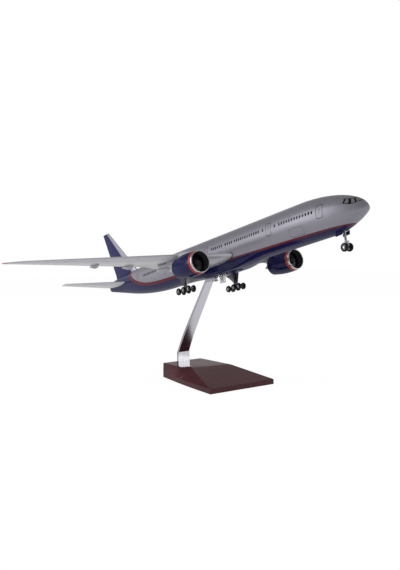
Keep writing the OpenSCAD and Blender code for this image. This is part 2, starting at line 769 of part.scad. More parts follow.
module fin() {
  color("#33336e")
  loft([for (z = [fin_top, lerp(fin_root_z, fin_top, 0.5), fin_root_z, fin_foot_z]) fin_ring(z)]);
}

stab_foot_y = 1;
stab_root_y = half_w(stab_station) + 0.6;
function stab_ring(y) = let (t = clamp01((y - stab_root_y) / (stab_span / 2 - stab_root_y)),
    out = max(0, y - stab_root_y))
  [for (p = foil_points(lerp(stab_chord, stab_tip_chord, t), stab_thick, 0))
    [-stab_station - out * tan(stab_sweep) - p[0], y, stab_z + out * tan(stab_dihedral) + p[1]]];

module stabiliser_left() {
  color("#b9bac0")
  loft([for (y = [stab_foot_y, stab_root_y, lerp(stab_root_y, stab_span / 2, 0.5), stab_span / 2])
    stab_ring(y)]);
}

// Engines: local z runs aft from the inlet's front
cowl_r = cowl_d / 2;
throat_r = throat_d / 2;
duct_step = 0.2;
duct_r = throat_r + duct_step;
lip_inset = 1.1;
lip_top_r = cowl_r - lip_inset;
lip_tuck = 0.6;
nozzle_inset = 1.9;
nozzle_r = cowl_r - nozzle_inset;
nozzle_wall = 0.7;
fan_z = 7;
fan_hub_r = 3.2;
fan_depth = 3.6;
blade_gap = 0.3;
blade_t = 0.4;
blade_turn = 38;
blade_w = fan_depth * 1.12;
spinner_mid_r = fan_hub_r * 0.72;
spinner_tip_r = 0.5;
spinner_l = 4.4;
spinner_mid_z = 2;
fan_play = 0.4;
core_z = fan_z + fan_depth + fan_play;
core_l = 14.5;
shaft_r = 1;
lip_step = 0.9;

module on_engine(side) {
  translate([-inlet_station, side * engine_y, -engine_drop])
    rotate([0, -90, 0])
      children();
}

lip_in = 0.5;
lip_mid_r = (lip_top_r + throat_r) / 2;
lip_round = (lip_top_r - throat_r) / 2;
module inlet_lip() {
  rotate_extrude()
    polygon(concat([[throat_r, lip_l]],
      [for (i = [0:10]) let (a = 180 + 18 * i)
        [lip_mid_r + lip_round * cos(a), lip_l * 0.6 + lip_l * 0.6 * sin(a)]],
      [[lip_top_r, lip_l], [lip_top_r - lip_tuck, lip_l], [lip_top_r - lip_tuck, lip_l + lip_step],
        [throat_r + lip_in, lip_l + lip_step], [throat_r + lip_in, lip_l]]));
}

cowl_widest = 0.38;
function cowl_out(z) = let (t = (z - lip_l) / (cowl_l - lip_l))
  t < cowl_widest ? lerp(lip_top_r, cowl_r, swell(t / cowl_widest, 2, 2))
  : lerp(cowl_r, nozzle_r, sweep_up((t - cowl_widest) / (1 - cowl_widest), 0.7));
function cowl_in(z) = let (t = (z - lip_l) / (cowl_l - lip_l))
  t < 0.5 ? duct_r : lerp(duct_r, nozzle_r - nozzle_wall, (t - 0.5) / 0.5);
cowl_steps = 16;
cowl_zs = [for (i = [0:cowl_steps]) lip_l + joint_gap / 2 + (cowl_l - lip_l - joint_gap / 2) * i / cowl_steps];
module cowl() {
  difference() {
    rotate_extrude()
      polygon(concat([for (z = cowl_zs) [cowl_out(z), z]],
        [for (i = [cowl_steps:-1:0]) [cowl_in(cowl_zs[i]), cowl_zs[i]]]));
    translate([0, 0, lip_l - past])
      cylinder(r = lip_top_r - lip_tuck + joint_gap / 2, h = past + lip_step + joint_gap);
  }
}

module fan() {
  difference() {
    union() {
      translate([0, 0, fan_z])
        cylinder(r = fan_hub_r, h = fan_depth);
      rotate_extrude()
        polygon([[0, fan_z - spinner_l], [spinner_tip_r, fan_z - spinner_l],
          [spinner_mid_r, fan_z - spinner_mid_z], [fan_hub_r, fan_z], [fan_hub_r, fan_z + fuse],
          [0, fan_z + fuse]]);
      intersection() {
        for (i = [0:fan_blades - 1])
          rotate([0, 0, 360 * i / fan_blades])
            translate([0, 0, fan_z + fan_depth / 2])
              rotate([0, 90, 0])
                rotate([0, 0, blade_turn])
                  translate([-blade_w / 2, -blade_t / 2, fan_hub_r - fuse])
                    cube([blade_w, blade_t, duct_r]);
        translate([0, 0, fan_z])
          cylinder(r = duct_r - blade_gap, h = fan_depth);
      }
    }
    translate([0, 0, fan_z - past])
      cylinder(r = shaft_r + run_gap, h = fan_depth + 2 * past);
  }
}

vane_count = 8;
vane_t = 0.6;
vane_l = 3.4;
vane_foot_r = 4;
// Radii of the core, with distances aft of the fan and then aft of the cowl
core_front = [[4.8, 0], [5.6, 6], [6.2, 14]];
core_rear = [[5.9, -4], [5.2, 1], [3.9, 6.5], [3.1, 6.5], [1.9, 10], [0.4, core_l], [0, core_l]];
module engine_core() {
  rotate_extrude()
    polygon(concat([[0, core_z]], [for (p = core_front) [p[0], core_z + p[1]]],
      [for (p = core_rear) [p[0], cowl_l + p[1]]]));
  translate([0, 0, fan_z - past + run_gap])
    cylinder(r = shaft_r, h = core_z - fan_z + past);
  for (i = [0:vane_count - 1])
    rotate([0, 0, 360 * (i + 0.5) / vane_count])
      translate([vane_foot_r, -vane_t / 2, core_z + past])
        cube([duct_r - vane_foot_r - joint_gap / 2, vane_t, vane_l]);
}

// Pylon: a side outline between the cowl and the wing's underside
pylon_front = inlet_station + 9;
pylon_rear = wing_le(engine_y) + wing_chord(engine_y) * 0.62;
pylon_steps = 8;
core_top = -engine_drop + core_rear[0][0];
// Where the pylon stops ahead of the wing's leading edge, on its inboard side
pylon_stop = wing_le(engine_y - pylon_t / 2) - pylon_gap;
pylon_roof_from = pylon_stop + 2.4;
function pylon_roof(s) = min(wing_low(s, engine_y - pylon_t / 2), wing_low(s, engine_y + pylon_t / 2))
  - pylon_gap;
module pylon() {
  low = [for (i = [0:pylon_steps]) let (s = lerp(pylon_roof_from, pylon_rear, i / pylon_steps))
    [-s, pylon_roof(s)]];
  difference() {
    translate([0, engine_y + pylon_t / 2, 0])
      rotate([90, 0, 0])
        linear_extrude(pylon_t)
          polygon(concat([[-pylon_front, -engine_drop + cowl_r - 1],
              [-pylon_front - 4, -engine_drop + cowl_r + 0.6],
              [-pylon_stop + 2.5, wing_z(engine_y) + 2.2], [-pylon_stop, wing_z(engine_y) + 1.4],
              [-pylon_stop, pylon_roof(pylon_roof_from)]], low,
            [[-pylon_rear + 5, pylon_roof(pylon_rear) - 2],
              [-inlet_station - cowl_l - 8, core_top], [-inlet_station - cowl_l - joint_gap, core_top]]));
    on_engine(1)
      rotate_extrude()
        polygon(concat([[0, lip_l]], [for (z = cowl_zs) [cowl_out(z) + joint_gap / 2, z]],
          [[0, cowl_l + joint_gap]]));
  }
  translate([-pylon_tab_x - pylon_tab_l, engine_y - pylon_tab_t / 2, pylon_tab_z - pylon_gap - past])
    cube([pylon_tab_l, pylon_tab_t, pylon_tab_h + pylon_gap + past - slot_gap]);
}

// Wheels: each tyre is a rounded ring on a dished hub
function arc_pts(cx, cy, r, a0, a1, n) = [for (i = [0:n])
  let (a = lerp(a0, a1, i / n)) [cx + r * cos(a), cy + r * sin(a)]];
hub_share = 0.58;
tyre_round = 0.75;
tyre_fit = 0.02;
module tyre(d) {
  r = d / 2;
  rim = r * hub_share + tyre_fit;
  rotate([90, 0, 0])
    rotate_extrude()
      polygon(concat([[rim, -tyre_w / 2]],
        arc_pts(r - tyre_round, -tyre_w / 2 + tyre_round, tyre_round, -90, 0, 5),
        arc_pts(r - tyre_round, tyre_w / 2 - tyre_round, tyre_round, 0, 90, 5), [[rim, tyre_w / 2]]));
}

hub_fit = 0.02;
side_play = 0.15;
hub_cap_h = 0.1;
hub_cap_w = 0.5;
hub_dish = 0.5;
rim_w = 0.25;
rim_inset = 0.15;
module hub(d, inner) {
  r = d / 2 * hub_share;
  bore = axle_d / 2 + hub_fit;
  face = -tyre_w / 2;
  rotate([90, 0, 0])
    rotate_extrude()
      polygon([[bore, face - hub_cap_h], [axle_d / 2 + hub_cap_w, face - hub_cap_h],
        [r * 0.6, face + hub_dish], [r - rim_w, face + rim_inset], [r, face + rim_inset],
        [r, -face], [r * 0.6, -face], [axle_d / 2 + hub_cap_w, inner], [bore, inner]]);
}

module wheel_pair(d, track, half_beam, what) {
  inner = track / 2 - half_beam - side_play;
  for (s = [-1, 1])
    translate([0, s * track / 2, 0])
      rotate([0, 0, s > 0 ? 180 : 0])
        if (what == "tyres") tyre(d);
        else hub(d, inner);
}

module axle_pin(track) {
  rotate([90, 0, 0])
    cylinder(d = axle_d, h = track + tyre_w, center = true);
}

// Nose gear
nose_sleeve_r = 1.35;
nose_sleeve_w = 2.2;
nose_leg_r = 1.1;
nose_socket_r = 1.7;
nose_skin_z = low_z(nose_leg_station);
nose_collar_h = 1.2;
nose_rod_l = 4.6;
// Torque link: a shelf under the cylinder, an upright and a lower arm
link_w = 0.8;
link_t = 0.7;
link_x = 1.7;
link_shelf = [2.6, 3.4, 1.3];
link_shelf_z = nose_rod_l - 0.4;
link_low_z = 1.2;
link_arm_t = 0.9;
module nose_leg_socket(gap) {
  translate([-nose_leg_station, 0, nose_skin_z - past])
    cylinder(r = nose_socket_r + gap, h = shell_t + 3 * past);
}

module nose_leg() {
  color("#b8bac0")
  translate([-nose_leg_station, 0, 0])
    difference() {
      union() {
        translate([0, 0, nose_skin_z - nose_collar_h])
          cylinder(r = nose_socket_r, h = nose_collar_h + shell_t + past);
        translate([0, 0, -nose_axle_drop + nose_rod_l])
          cylinder(r = nose_leg_r, h = nose_axle_drop - nose_rod_l + nose_skin_z);
        translate([0, 0, -nose_axle_drop])
          cylinder(r = nose_leg_r * 0.75, h = nose_rod_l + fuse);
        rotate([90, 0, 0])
          translate([0, -nose_axle_drop, -nose_sleeve_w / 2])
            cylinder(r = nose_sleeve_r, h = nose_sleeve_w);
        translate([-fuse, -link_shelf[1] / 2, -nose_axle_drop + link_shelf_z])
          cube(link_shelf);
        translate([link_x, -link_w / 2, -nose_axle_drop + link_low_z])
          cube([link_t, link_w, link_shelf_z - link_low_z + fuse]);
        translate([0, -link_w / 2, -nose_axle_drop + link_low_z])
          cube([link_x + link_t, link_w, link_arm_t]);
      }
      rotate([90, 0, 0])
        translate([0, -nose_axle_drop, -nose_sleeve_w])
          cylinder(r = axle_d / 2 + run_gap, h = 2 * nose_sleeve_w);
    }
}

door_ahead = 2;
door_behind = 6;
door_h = 4.2;
door_t = 0.7;
door_y = 4.3;
door_gap = 0.25;
door_rake = 0.6;
door_front = nose_leg_station - door_ahead;
door_rear = nose_leg_station + door_behind;
function skin_z(s, y) = let (v = clamp01(abs(y) / half_w(s)))
  wide_z(s) - (wide_z(s) - low_z(s)) * sqrt(1 - v * v);
module nose_doors() {
  color("#2a2a5c")
  for (s = [-1, 1])
    translate([0, s * (door_y + door_t / 2), 0])
      rotate([90, 0, 0])
        linear_extrude(door_t, center = true)
          polygon([[-door_rear, skin_z(door_rear, door_y) - door_gap],
            [-door_rear - door_rake, skin_z(nose_leg_station, door_y) - door_h],
            [-door_front - door_rake, skin_z(nose_leg_station, door_y) - door_h + door_rake],
            [-door_front, skin_z(door_front, door_y) - door_gap]]);
}

module on_nose_axle() {
  translate([-nose_leg_station, 0, -nose_axle_drop])
    children();
}

// Main gear
beam_w = 2.4;
beam_h = 2.4;
beam_eye_r = beam_h / 2 + 0.1;
leg_r = 1.6;
leg_rod_r = leg_r * 0.72;
leg_rod_l = 4.4;
leg_collar = [2 * leg_r + 1, 2.2, 1.8];
leg_collar_z = 3.2;
leg_foot_r = 0.8;
foot_lift = axle_d / 2 + run_gap + joint_gap;
module main_leg_left() {
  color("#9a9ba2")
  translate([-main_station, main_y, 0]) {
    translate([0, 0, main_leg_top - 2 * fuse])
      cylinder(r = leg_peg_r, h = leg_peg_l + 2 * fuse);
    translate([0, 0, -main_axle_drop + leg_rod_l])
      cylinder(r = leg_r, h = main_axle_drop - leg_rod_l + main_leg_top - fuse);
    translate([0, 0, -main_axle_drop + beam_h / 2 + 2 * joint_gap])
      cylinder(r = leg_rod_r, h = leg_rod_l);
    translate([-leg_collar[0] / 2, -leg_collar[1] / 2, -main_axle_drop + leg_collar_z])
      cube(leg_collar);
    translate([0, 0, -main_axle_drop + foot_lift])
      cylinder(r = leg_foot_r, h = beam_h);
  }
}

leg_door_t = 0.8;
leg_door_gap = 0.2;
leg_door_y = main_y + leg_r + leg_door_gap;
leg_door_drop = 0.4;
leg_door_ahead = 1.6;
leg_door_behind = 10;
leg_door_low = 5;
module leg_door_left() {
  color("#8f9097")
  translate([0, leg_door_y + leg_door_t, 0])
    rotate([90, 0, 0])
      linear_extrude(leg_door_t)
        polygon([[-main_station - leg_door_behind,
            wing_low(main_station + leg_door_behind, leg_door_y) - leg_door_drop],
          [-main_station - leg_door_behind + 0.8,
            wing_low(main_station + leg_door_behind, leg_door_y) - 3.4],
          [-main_station - 2.6, -main_axle_drop + leg_door_low],
          [-main_station + 0.6, -main_axle_drop + leg_door_low],
          [-main_station + leg_door_ahead - 0.2, wing_low(main_station, leg_door_y) - 4],
          [-main_station + leg_door_ahead,
            wing_low(main_station - leg_door_ahead, leg_door_y) - leg_door_drop]]);
}

module bogie_left() {
  color("#7d7e86")
  translate([-main_station, main_y, -main_axle_drop])
    difference() {
      union() {
        translate([-axle_pitch, -beam_w / 2, -beam_h / 2])
          cube([2 * axle_pitch, beam_w, beam_h]);
        for (i = [-1, 0, 1])
          translate([i * axle_pitch, 0, 0])
            rotate([90, 0, 0])
              cylinder(r = beam_eye_r, h = beam_w, center = true);
      }
      for (i = [-1, 0, 1])
        translate([i * axle_pitch, 0, 0])
          rotate([90, 0, 0])
            cylinder(r = axle_d / 2 + run_gap, h = 2 * beam_w, center = true);
      translate([0, 0, axle_d / 2])
        cylinder(r = leg_foot_r + joint_gap / 2, h = beam_h);
    }
}

module on_main_axle(side, row) {
  translate([-main_station - row * axle_pitch, side * main_y, -main_axle_drop])
    children();
}

module main_axle(side, row) {
  color("#c4c6cb")
  aircraft()
    on_main_axle(side, row)
      axle_pin(main_track);
}

module main_hubs(side, row) {
  color("#86878d")
  aircraft()
    on_main_axle(side, row)
      wheel_pair(main_wheel_d, main_track, beam_w / 2, "hubs");
}

module main_tyres(side, row) {
  color("#111114")
  aircraft()
    on_main_axle(side, row)
      wheel_pair(main_wheel_d, main_track, beam_w / 2, "tyres");
}

module starboard() {
  mirror([0, 1, 0])
    children();
}

base();
strip();
base_screws();
flange_screws();
aircraft() belly_block();
aircraft() lamp_cup();
aircraft() lamp_bulb();
aircraft() lamp_screws();
aircraft() fuselage_left();
aircraft() fuselage_right();
aircraft() belly_fairing();
aircraft() wing_left();
aircraft() starboard() wing_left();  // wing_right
aircraft() flap_fairings_left();
aircraft() starboard() flap_fairings_left();  // flap_fairings_right
aircraft() tip_light_left();
aircraft() starboard() tip_light_left();  // tip_light_right
aircraft() fin();
aircraft() stabiliser_left();
aircraft() starboard() stabiliser_left();  // stabiliser_right
aircraft() color("#9fa0a8") pylon();  // pylon_left
aircraft() starboard() color("#9fa0a8") pylon();  // pylon_right
aircraft() on_engine(1) color("#2b2b62") cowl();  // cowl_left
aircraft() on_engine(-1) color("#2b2b62") cowl();  // cowl_right
aircraft() on_engine(1) color("#e2e2e6") inlet_lip();  // inlet_lip_left
aircraft() on_engine(-1) color("#e2e2e6") inlet_lip();  // inlet_lip_right
aircraft() on_engine(1) color("#3a3a40") fan();  // fan_left
aircraft() on_engine(-1) color("#3a3a40") fan();  // fan_right
aircraft() on_engine(1) color("#6b6b72") engine_core();  // engine_core_left
aircraft() on_engine(-1) color("#6b6b72") engine_core();  // engine_core_right
aircraft() nose_leg();
aircraft() nose_doors();
aircraft() on_nose_axle() color("#c4c6cb") axle_pin(nose_track);  // nose_axle
aircraft() on_nose_axle() color("#86878d")  // nose_hubs
  wheel_pair(nose_wheel_d, nose_track, nose_sleeve_w / 2, "hubs");
aircraft() on_nose_axle() color("#111114")  // nose_tyres
  wheel_pair(nose_wheel_d, nose_track, nose_sleeve_w / 2, "tyres");
aircraft() main_leg_left();
aircraft() starboard() main_leg_left();  // main_leg_right
aircraft() leg_door_left();
aircraft() starboard() leg_door_left();  // leg_door_right
aircraft() bogie_left();
aircraft() starboard() bogie_left();  // bogie_right
main_axle(1, -1);  // axle_left_front
main_axle(1, 0);  // axle_left_middle
main_axle(1, 1);  // axle_left_rear
main_axle(-1, -1);  // axle_right_front
main_axle(-1, 0);  // axle_right_middle
main_axle(-1, 1);  // axle_right_rear
main_hubs(1, -1);  // hubs_left_front
main_hubs(1, 0);  // hubs_left_middle
main_hubs(1, 1);  // hubs_left_rear
main_hubs(-1, -1);  // hubs_right_front
main_hubs(-1, 0);  // hubs_right_middle
main_hubs(-1, 1);  // hubs_right_rear
main_tyres(1, -1);  // tyres_left_front
main_tyres(1, 0);  // tyres_left_middle
main_tyres(1, 1);  // tyres_left_rear
main_tyres(-1, -1);  // tyres_right_front
main_tyres(-1, 0);  // tyres_right_middle
main_tyres(-1, 1);  // tyres_right_rear
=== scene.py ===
"""Looks of a desk model airliner on its wooden stand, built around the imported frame."""

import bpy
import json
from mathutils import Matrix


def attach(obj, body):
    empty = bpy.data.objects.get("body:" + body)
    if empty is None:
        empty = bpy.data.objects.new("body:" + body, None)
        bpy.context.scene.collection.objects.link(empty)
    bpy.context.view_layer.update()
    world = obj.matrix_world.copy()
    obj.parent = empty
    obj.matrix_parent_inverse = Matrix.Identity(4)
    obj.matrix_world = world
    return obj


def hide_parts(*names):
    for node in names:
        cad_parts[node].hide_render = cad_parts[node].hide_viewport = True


bl_info = {
    "name": "Desk model airliner",
    "version": (1, 0, 0),
    "blender": (4, 5, 0),
    "location": "View3D > Sidebar > Airliner",
    "description": "Dresses the frame of a desk model airliner and its stand",
    "category": "Add Mesh",
}

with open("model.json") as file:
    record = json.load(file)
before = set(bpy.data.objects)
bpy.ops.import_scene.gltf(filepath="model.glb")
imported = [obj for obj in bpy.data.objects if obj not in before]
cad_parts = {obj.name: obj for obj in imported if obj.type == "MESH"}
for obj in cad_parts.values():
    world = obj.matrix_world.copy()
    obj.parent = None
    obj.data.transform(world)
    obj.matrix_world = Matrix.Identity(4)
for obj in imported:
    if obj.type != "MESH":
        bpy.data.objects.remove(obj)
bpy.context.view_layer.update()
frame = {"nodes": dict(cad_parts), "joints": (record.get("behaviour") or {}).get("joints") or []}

import json
import math

import bmesh
import bpy
from bpy.props import FloatProperty, FloatVectorProperty, IntProperty, PointerProperty
from mathutils import Matrix, Vector

# Places. The aircraft's own frame is in millimetres: x is 0 at the nose tip and falls aft, y
# is to port and z up from the centreline. A station is the distance aft of the nose tip.
MM = 0.001
JOINTS = {joint["name"]: joint for joint in frame["joints"]}
NOSE_WAY = Vector(JOINTS["fan_left_spin"]["axis"])
PITCH = math.atan2(NOSE_WAY.z, NOSE_WAY.x)
TURN = Matrix.Rotation(-PITCH, 4, "Y")
NOSE_AXLE = Vector((-30.3, 0.0, -32.0))
NOSE_TIP = Vector(JOINTS["nose_wheels_roll"]["pos_m"]) - TURN @ (NOSE_AXLE * MM)
TO_ROW = Matrix.Translation(NOSE_TIP) @ TURN @ Matrix.Scale(MM, 4)
TO_AIRCRAFT = TO_ROW.inverted()
SIDES = {"left": 1, "right": -1}
PLACES = ("front", "middle", "rear")


def aircraft_point(joint):
    """A joint's place in the aircraft's own frame."""
    return TO_AIRCRAFT @ Vector(JOINTS[joint]["pos_m"])


# Curves of the outline

def mix(a, b, t):
    return a + (b - a) * t


def clamp01(t):
    return min(1.0, max(0.0, t))


def ease(t):
    t = clamp01(t)
    return t * t * (3 - 2 * t)


def swell(t, p, q):
    """Rises from 0 to 1, steeply at first."""
    return (1 - (1 - clamp01(t)) ** p) ** (1 / q)


def sweep_up(t, k):
    """Rises from 0 to 1, curved up to k and straight from there."""
    if t <= 0:
        return 0.0
    return t * t / (k * (2 - k)) if t < k else (2 * t - k) / (2 - k)


def along(x, rows):
    """Straight lines through rows of (x, value)."""
    for (x0, v0), (x1, v1) in zip(rows, rows[1:]):
        if x <= x1:
            return mix(v0, v1, (x - x0) / (x1 - x0))
    return rows[-1][1]


# Fuselage outline, by station
BODY_R = 19.15
BODY_L = 451.0
NOSE_DROP = 4.6
NOSE_TOP_L, NOSE_LOW_L, NOSE_SIDE_L = 73.0, 37.0, 84.0
TAIL_L = 151.0
TAIL_START = BODY_L - TAIL_L
TAIL_RISE, TAIL_END_W, TAIL_END_TOP = 2.3, 2.2, 14.2
TAIL_LOW_BEND, TAIL_SIDE_BEND = 0.64, 0.6
CROWN_L, CROWN_POWER = TAIL_L * 0.62, 1.8
# Powers of each curve of the nose
NOSE_TOP_CURVE, NOSE_LOW_CURVE = (2.06, 1.85), (1.3, 1.4)
NOSE_SIDE_CURVE, NOSE_MID_CURVE = (2, 1.95), (1.5, 1)
LEAST_R = 0.6
# Small steps along and round the skin, for its normal
STATION_STEP, ANGLE_STEP = 0.2, 0.02
HALVINGS = 40


def top_z(s):
    if s < NOSE_TOP_L:
        return -NOSE_DROP + (BODY_R + NOSE_DROP) * swell(s / NOSE_TOP_L, *NOSE_TOP_CURVE)
    crown = clamp01((s - BODY_L + CROWN_L) / CROWN_L) ** CROWN_POWER
    return BODY_R - (BODY_R - TAIL_END_TOP) * crown


def low_z(s):
    if s < NOSE_LOW_L:
        return -NOSE_DROP - (BODY_R - NOSE_DROP) * swell(s / NOSE_LOW_L, *NOSE_LOW_CURVE)
    return -BODY_R + (BODY_R + TAIL_RISE) * sweep_up((s - TAIL_START) / TAIL_L, TAIL_LOW_BEND)


def half_w(s):
    if s < NOSE_SIDE_L:
        return BODY_R * swell(s / NOSE_SIDE_L, *NOSE_SIDE_CURVE)
    return BODY_R - (BODY_R - TAIL_END_W) * sweep_up((s - TAIL_START) / TAIL_L, TAIL_SIDE_BEND)


def wide_z(s):
    if s < NOSE_TOP_L:
        return -NOSE_DROP * (1 - swell(s / NOSE_TOP_L, *NOSE_MID_CURVE))
    return max(0.0, (top_z(s) + low_z(s)) / 2)


def reach(s, above):
    """The skin's height above or below its widest level."""
    return top_z(s) - wide_z(s) if above else wide_z(s) - low_z(s)


def hull_point(s, angle):
    """A point of the skin; the angle runs from 0 at the crown over port to the keel."""
    up, out = math.cos(angle), math.sin(angle)
    return Vector((-s, max(LEAST_R, half_w(s)) * out,
                   wide_z(s) + max(LEAST_R, reach(s, up >= 0)) * up))


def hull_side(s, z, side, lift=0.0):
    """The skin's point at a station and a height, lifted off the skin."""
    lean = (z - wide_z(s)) / reach(s, z >= wide_z(s))
    angle = math.acos(max(-1.0, min(1.0, lean)))
    point = hull_point(s, angle)
    across = hull_point(s, angle + ANGLE_STEP) - point
    aft = hull_point(s + STATION_STEP, angle) - point
    normal = aft.cross(across).normalized()
    if normal.y < 0:
        normal = -normal
    point = point + normal * lift
    return Vector((point.x, side * point.y, point.z))


def nose_side(y, z, side, lift=0.0):
    """The skin's point at a half breadth and a height, found along the nose."""
    low, high = 0.1, NOSE_SIDE_L
    for _ in range(HALVINGS):
        s = (low + high) / 2
        lean = (z - wide_z(s)) / reach(s, z >= wide_z(s))
        breadth = half_w(s) * math.sqrt(1 - lean * lean) if abs(lean) < 1 else -1.0
        if breadth < y:
            low = s
        else:
            high = s
    return hull_side(high, z, side, lift)


# Wing outline, by distance from the centreline
WING_HALF = 206.5
RAKE_START = WING_HALF - 16.5
RAKE_BACK = 16.0
WING_STATION = 164.3
KINK_Y = 66.0
WING_DROP = 7.9
CHORDS = ((BODY_R, 88.0), (KINK_Y, 63.0), (RAKE_START, 15.0), (WING_HALF, 4.2))
SETS = ((BODY_R, -3.0), (KINK_Y, 1.5), (WING_HALF, -0.2))
SHARES = ((BODY_R, 0.104), (KINK_Y, 0.104), (WING_HALF, 0.1))
WING_SLOPE = math.tan(math.radians(33))
WING_RISE = math.tan(math.radians(6.5))
FOIL_EDGE = 0.45
WING_ROOT_Y = 14.3
TIP_LAMP_L = 3.4
CANOE_GAP = 0.3


def wing_le(y):
    if y <= RAKE_START:
        return WING_STATION + max(0.0, y - BODY_R) * WING_SLOPE
    share = (y - RAKE_START) / (WING_HALF - RAKE_START)
    return WING_STATION + (RAKE_START - BODY_R) * WING_SLOPE + RAKE_BACK * share


def wing_chord(y):
    return along(max(y, BODY_R), CHORDS)


def wing_z(y):
    return -WING_DROP + max(0.0, y - BODY_R) * WING_RISE


def foil_half(u):
    """Half the thickness of a plain foil of full share, at a share of its chord."""
    return 5 * (0.2969 * math.sqrt(u) - 0.126 * u - 0.3516 * u * u
                + 0.2843 * u ** 3 - 0.1036 * u ** 4)


def foil_outline(chord, share, steps):
    """A closed foil outline as (aft, up), from the upper trailing edge round the nose."""
    us = [(1 - math.cos(math.pi * i / steps)) / 2 for i in range(steps + 1)]
    upper = [(u * chord, chord * share * foil_half(u) + u * FOIL_EDGE / 2) for u in us]
    lower = [(aft, -up) for aft, up in upper[1:]]
    return upper[::-1] + lower


def wing_ring(y, side, steps=24):
    """The wing's section at a distance from the centreline."""
    chord, rise = wing_chord(y), along(max(y, BODY_R), SETS)
    return [Vector((-wing_le(y) - aft, side * y, wing_z(y) + up + rise * aft / chord))
            for aft, up in foil_outline(chord, along(max(y, BODY_R), SHARES), steps)]


def wing_low(s, y):
    """The height of the wing's underside."""
    chord = wing_chord(y)
    u = clamp01((s - wing_le(y)) / chord)
    deep = chord * along(max(y, BODY_R), SHARES) * foil_half(u) + u * FOIL_EDGE / 2
    return wing_z(y) + along(max(y, BODY_R), SETS) * u - deep


def canoe_roof(s, y):
    """The height just under the wing, held level behind its trailing edge."""
    return wing_low(min(s, wing_le(y) + wing_chord(y)), y) - CANOE_GAP


# Colours are written as the eye sees them and turned into the shader's own values

def seen(red, green, blue):
    """A colour given from 0 to 255 as it shows on a screen."""
    return tuple(((c / 255 + 0.055) / 1.055) ** 2.4 for c in (red, green, blue))


def paint_property(name, description, *screen):
    return FloatVectorProperty(name=name, description=description, subtype="COLOR",
                               size=3, min=0, max=1, default=seen(*screen))


def length_property(name, description, default, least, most):
    return FloatProperty(name=name, description=description, unit="LENGTH",
                         default=default, min=least, max=most)


def power_property(name, description, default):
    return FloatProperty(name=name, description=description, unit="POWER",
                         default=default, min=0, max=100)


class LiveryColours(bpy.types.PropertyGroup):
    """Colours of the aircraft and its stand."""

    silver: paint_property("Silver", "Metallic paint of the upper hull", 152, 151, 161)
    navy: paint_property("Navy", "Paint of the belly, fin and cowls", 33, 35, 86)
    red: paint_property("Red", "Line above the navy belly", 108, 36, 50)
    orange: paint_property("Orange", "Band behind the inlet lips and tip lamps", 186, 62, 50)
    wing: paint_property("Wing grey", "Paint of the wings and tailplane", 188, 187, 194)
    wood: paint_property("Wood", "Lacquered wood of the base", 88, 43, 50)
    rubber: paint_property("Rubber", "Tyres", 15, 15, 17)


class HullSizes(bpy.types.PropertyGroup):
    """Sizes of what is drawn on the hull."""

    window_w: length_property("Window width", "Width of a cabin window", 0.0017, 0.0005, 0.003)
    window_h: length_property("Window height", "Height of a cabin window", 0.0029, 0.0008, 0.004)
    window_pitch: length_property("Window pitch", "Spacing of the cabin windows",
                                  0.00338, 0.002, 0.006)
    door_w: length_property("Door width", "Width of a cabin door", 0.0071, 0.003, 0.01)
    door_h: length_property("Door height", "Height of a cabin door", 0.0122, 0.005, 0.016)
    line_w: length_property("Line width", "Width of the printed door lines",
                            0.00045, 0.0001, 0.001)
    skin_t: length_property("Skin", "Wall of the hull's shells", 0.0008, 0.0003, 0.0018)


class DetailSizes(bpy.types.PropertyGroup):
    """Sizes of edges and small pieces."""

    base_bevel: length_property("Base edge", "Rounding of the wooden base's edges",
                                0.0005, 0.0001, 0.002)
    strip_bevel: length_property("Strip edge", "Rounding of the metal strip's edges",
                                 0.0003, 0.0001, 0.001)
    fan_blades: IntProperty(
        name="Fan blades", description="Blades of each fan", min=8, max=30, default=20)


class StageSettings(bpy.types.PropertyGroup):
    """Floor, lamps and camera."""

    lens: FloatProperty(
        name="Lens", description="Focal length over a 36 mm tall picture", unit="CAMERA",
        min=10, max=200, default=43.56)
    floor_size: length_property("Floor", "Side of the square floor", 6, 1, 20)
    key_power: power_property("Key lamp", "Power of the large lamp beside the camera", 9)
    fill_power: power_property("Fill lamp", "Power of the lamp ahead of the nose", 5)
    back_power: power_property("Back lamp", "Power of the lamp behind the tail", 0.6)
    sky: FloatProperty(
        name="Room light", description="Strength of the even light from all round",
        min=0, max=1, default=0.4)


# Shaders

class Wire:
    """A number that a shader works out; arithmetic on it adds Math nodes."""

    def __init__(self, surface, socket):
        self.surface = surface
        self.socket = socket

    def math(self, operation, *values):
        return self.surface.add("ShaderNodeMath", {"operation": operation},
                                dict(enumerate(values)))

    def __add__(self, other):
        return self.math("ADD", self, other)

    __radd__ = __add__

    def __sub__(self, other):
        return self.math("SUBTRACT", self, other)

    def __rsub__(self, other):
        return self.math("SUBTRACT", other, self)

    def __mul__(self, other):
        return self.math("MULTIPLY", self, other)

    __rmul__ = __mul__

    def __truediv__(self, other):
        return self.math("DIVIDE", self, other)

    def __abs__(self):
        return self.math("ABSOLUTE", self)

    def least(self, other):
        return self.math("MINIMUM", self, other)

    def most(self, other):
        return self.math("MAXIMUM", self, other)

    def mask(self, soft=0.05):
        """1 where this number is above nought and 0 below, across a narrow soft edge."""
        return (self / soft + 0.5).most(0.0).least(1.0)

    def line(self, width, soft=0.06):
        """1 where this number is within half a width of nought."""
        return (width / 2 - abs(self)).mask(soft)


BUMP_DEPTH = 0.0001
MATERIALS = {}


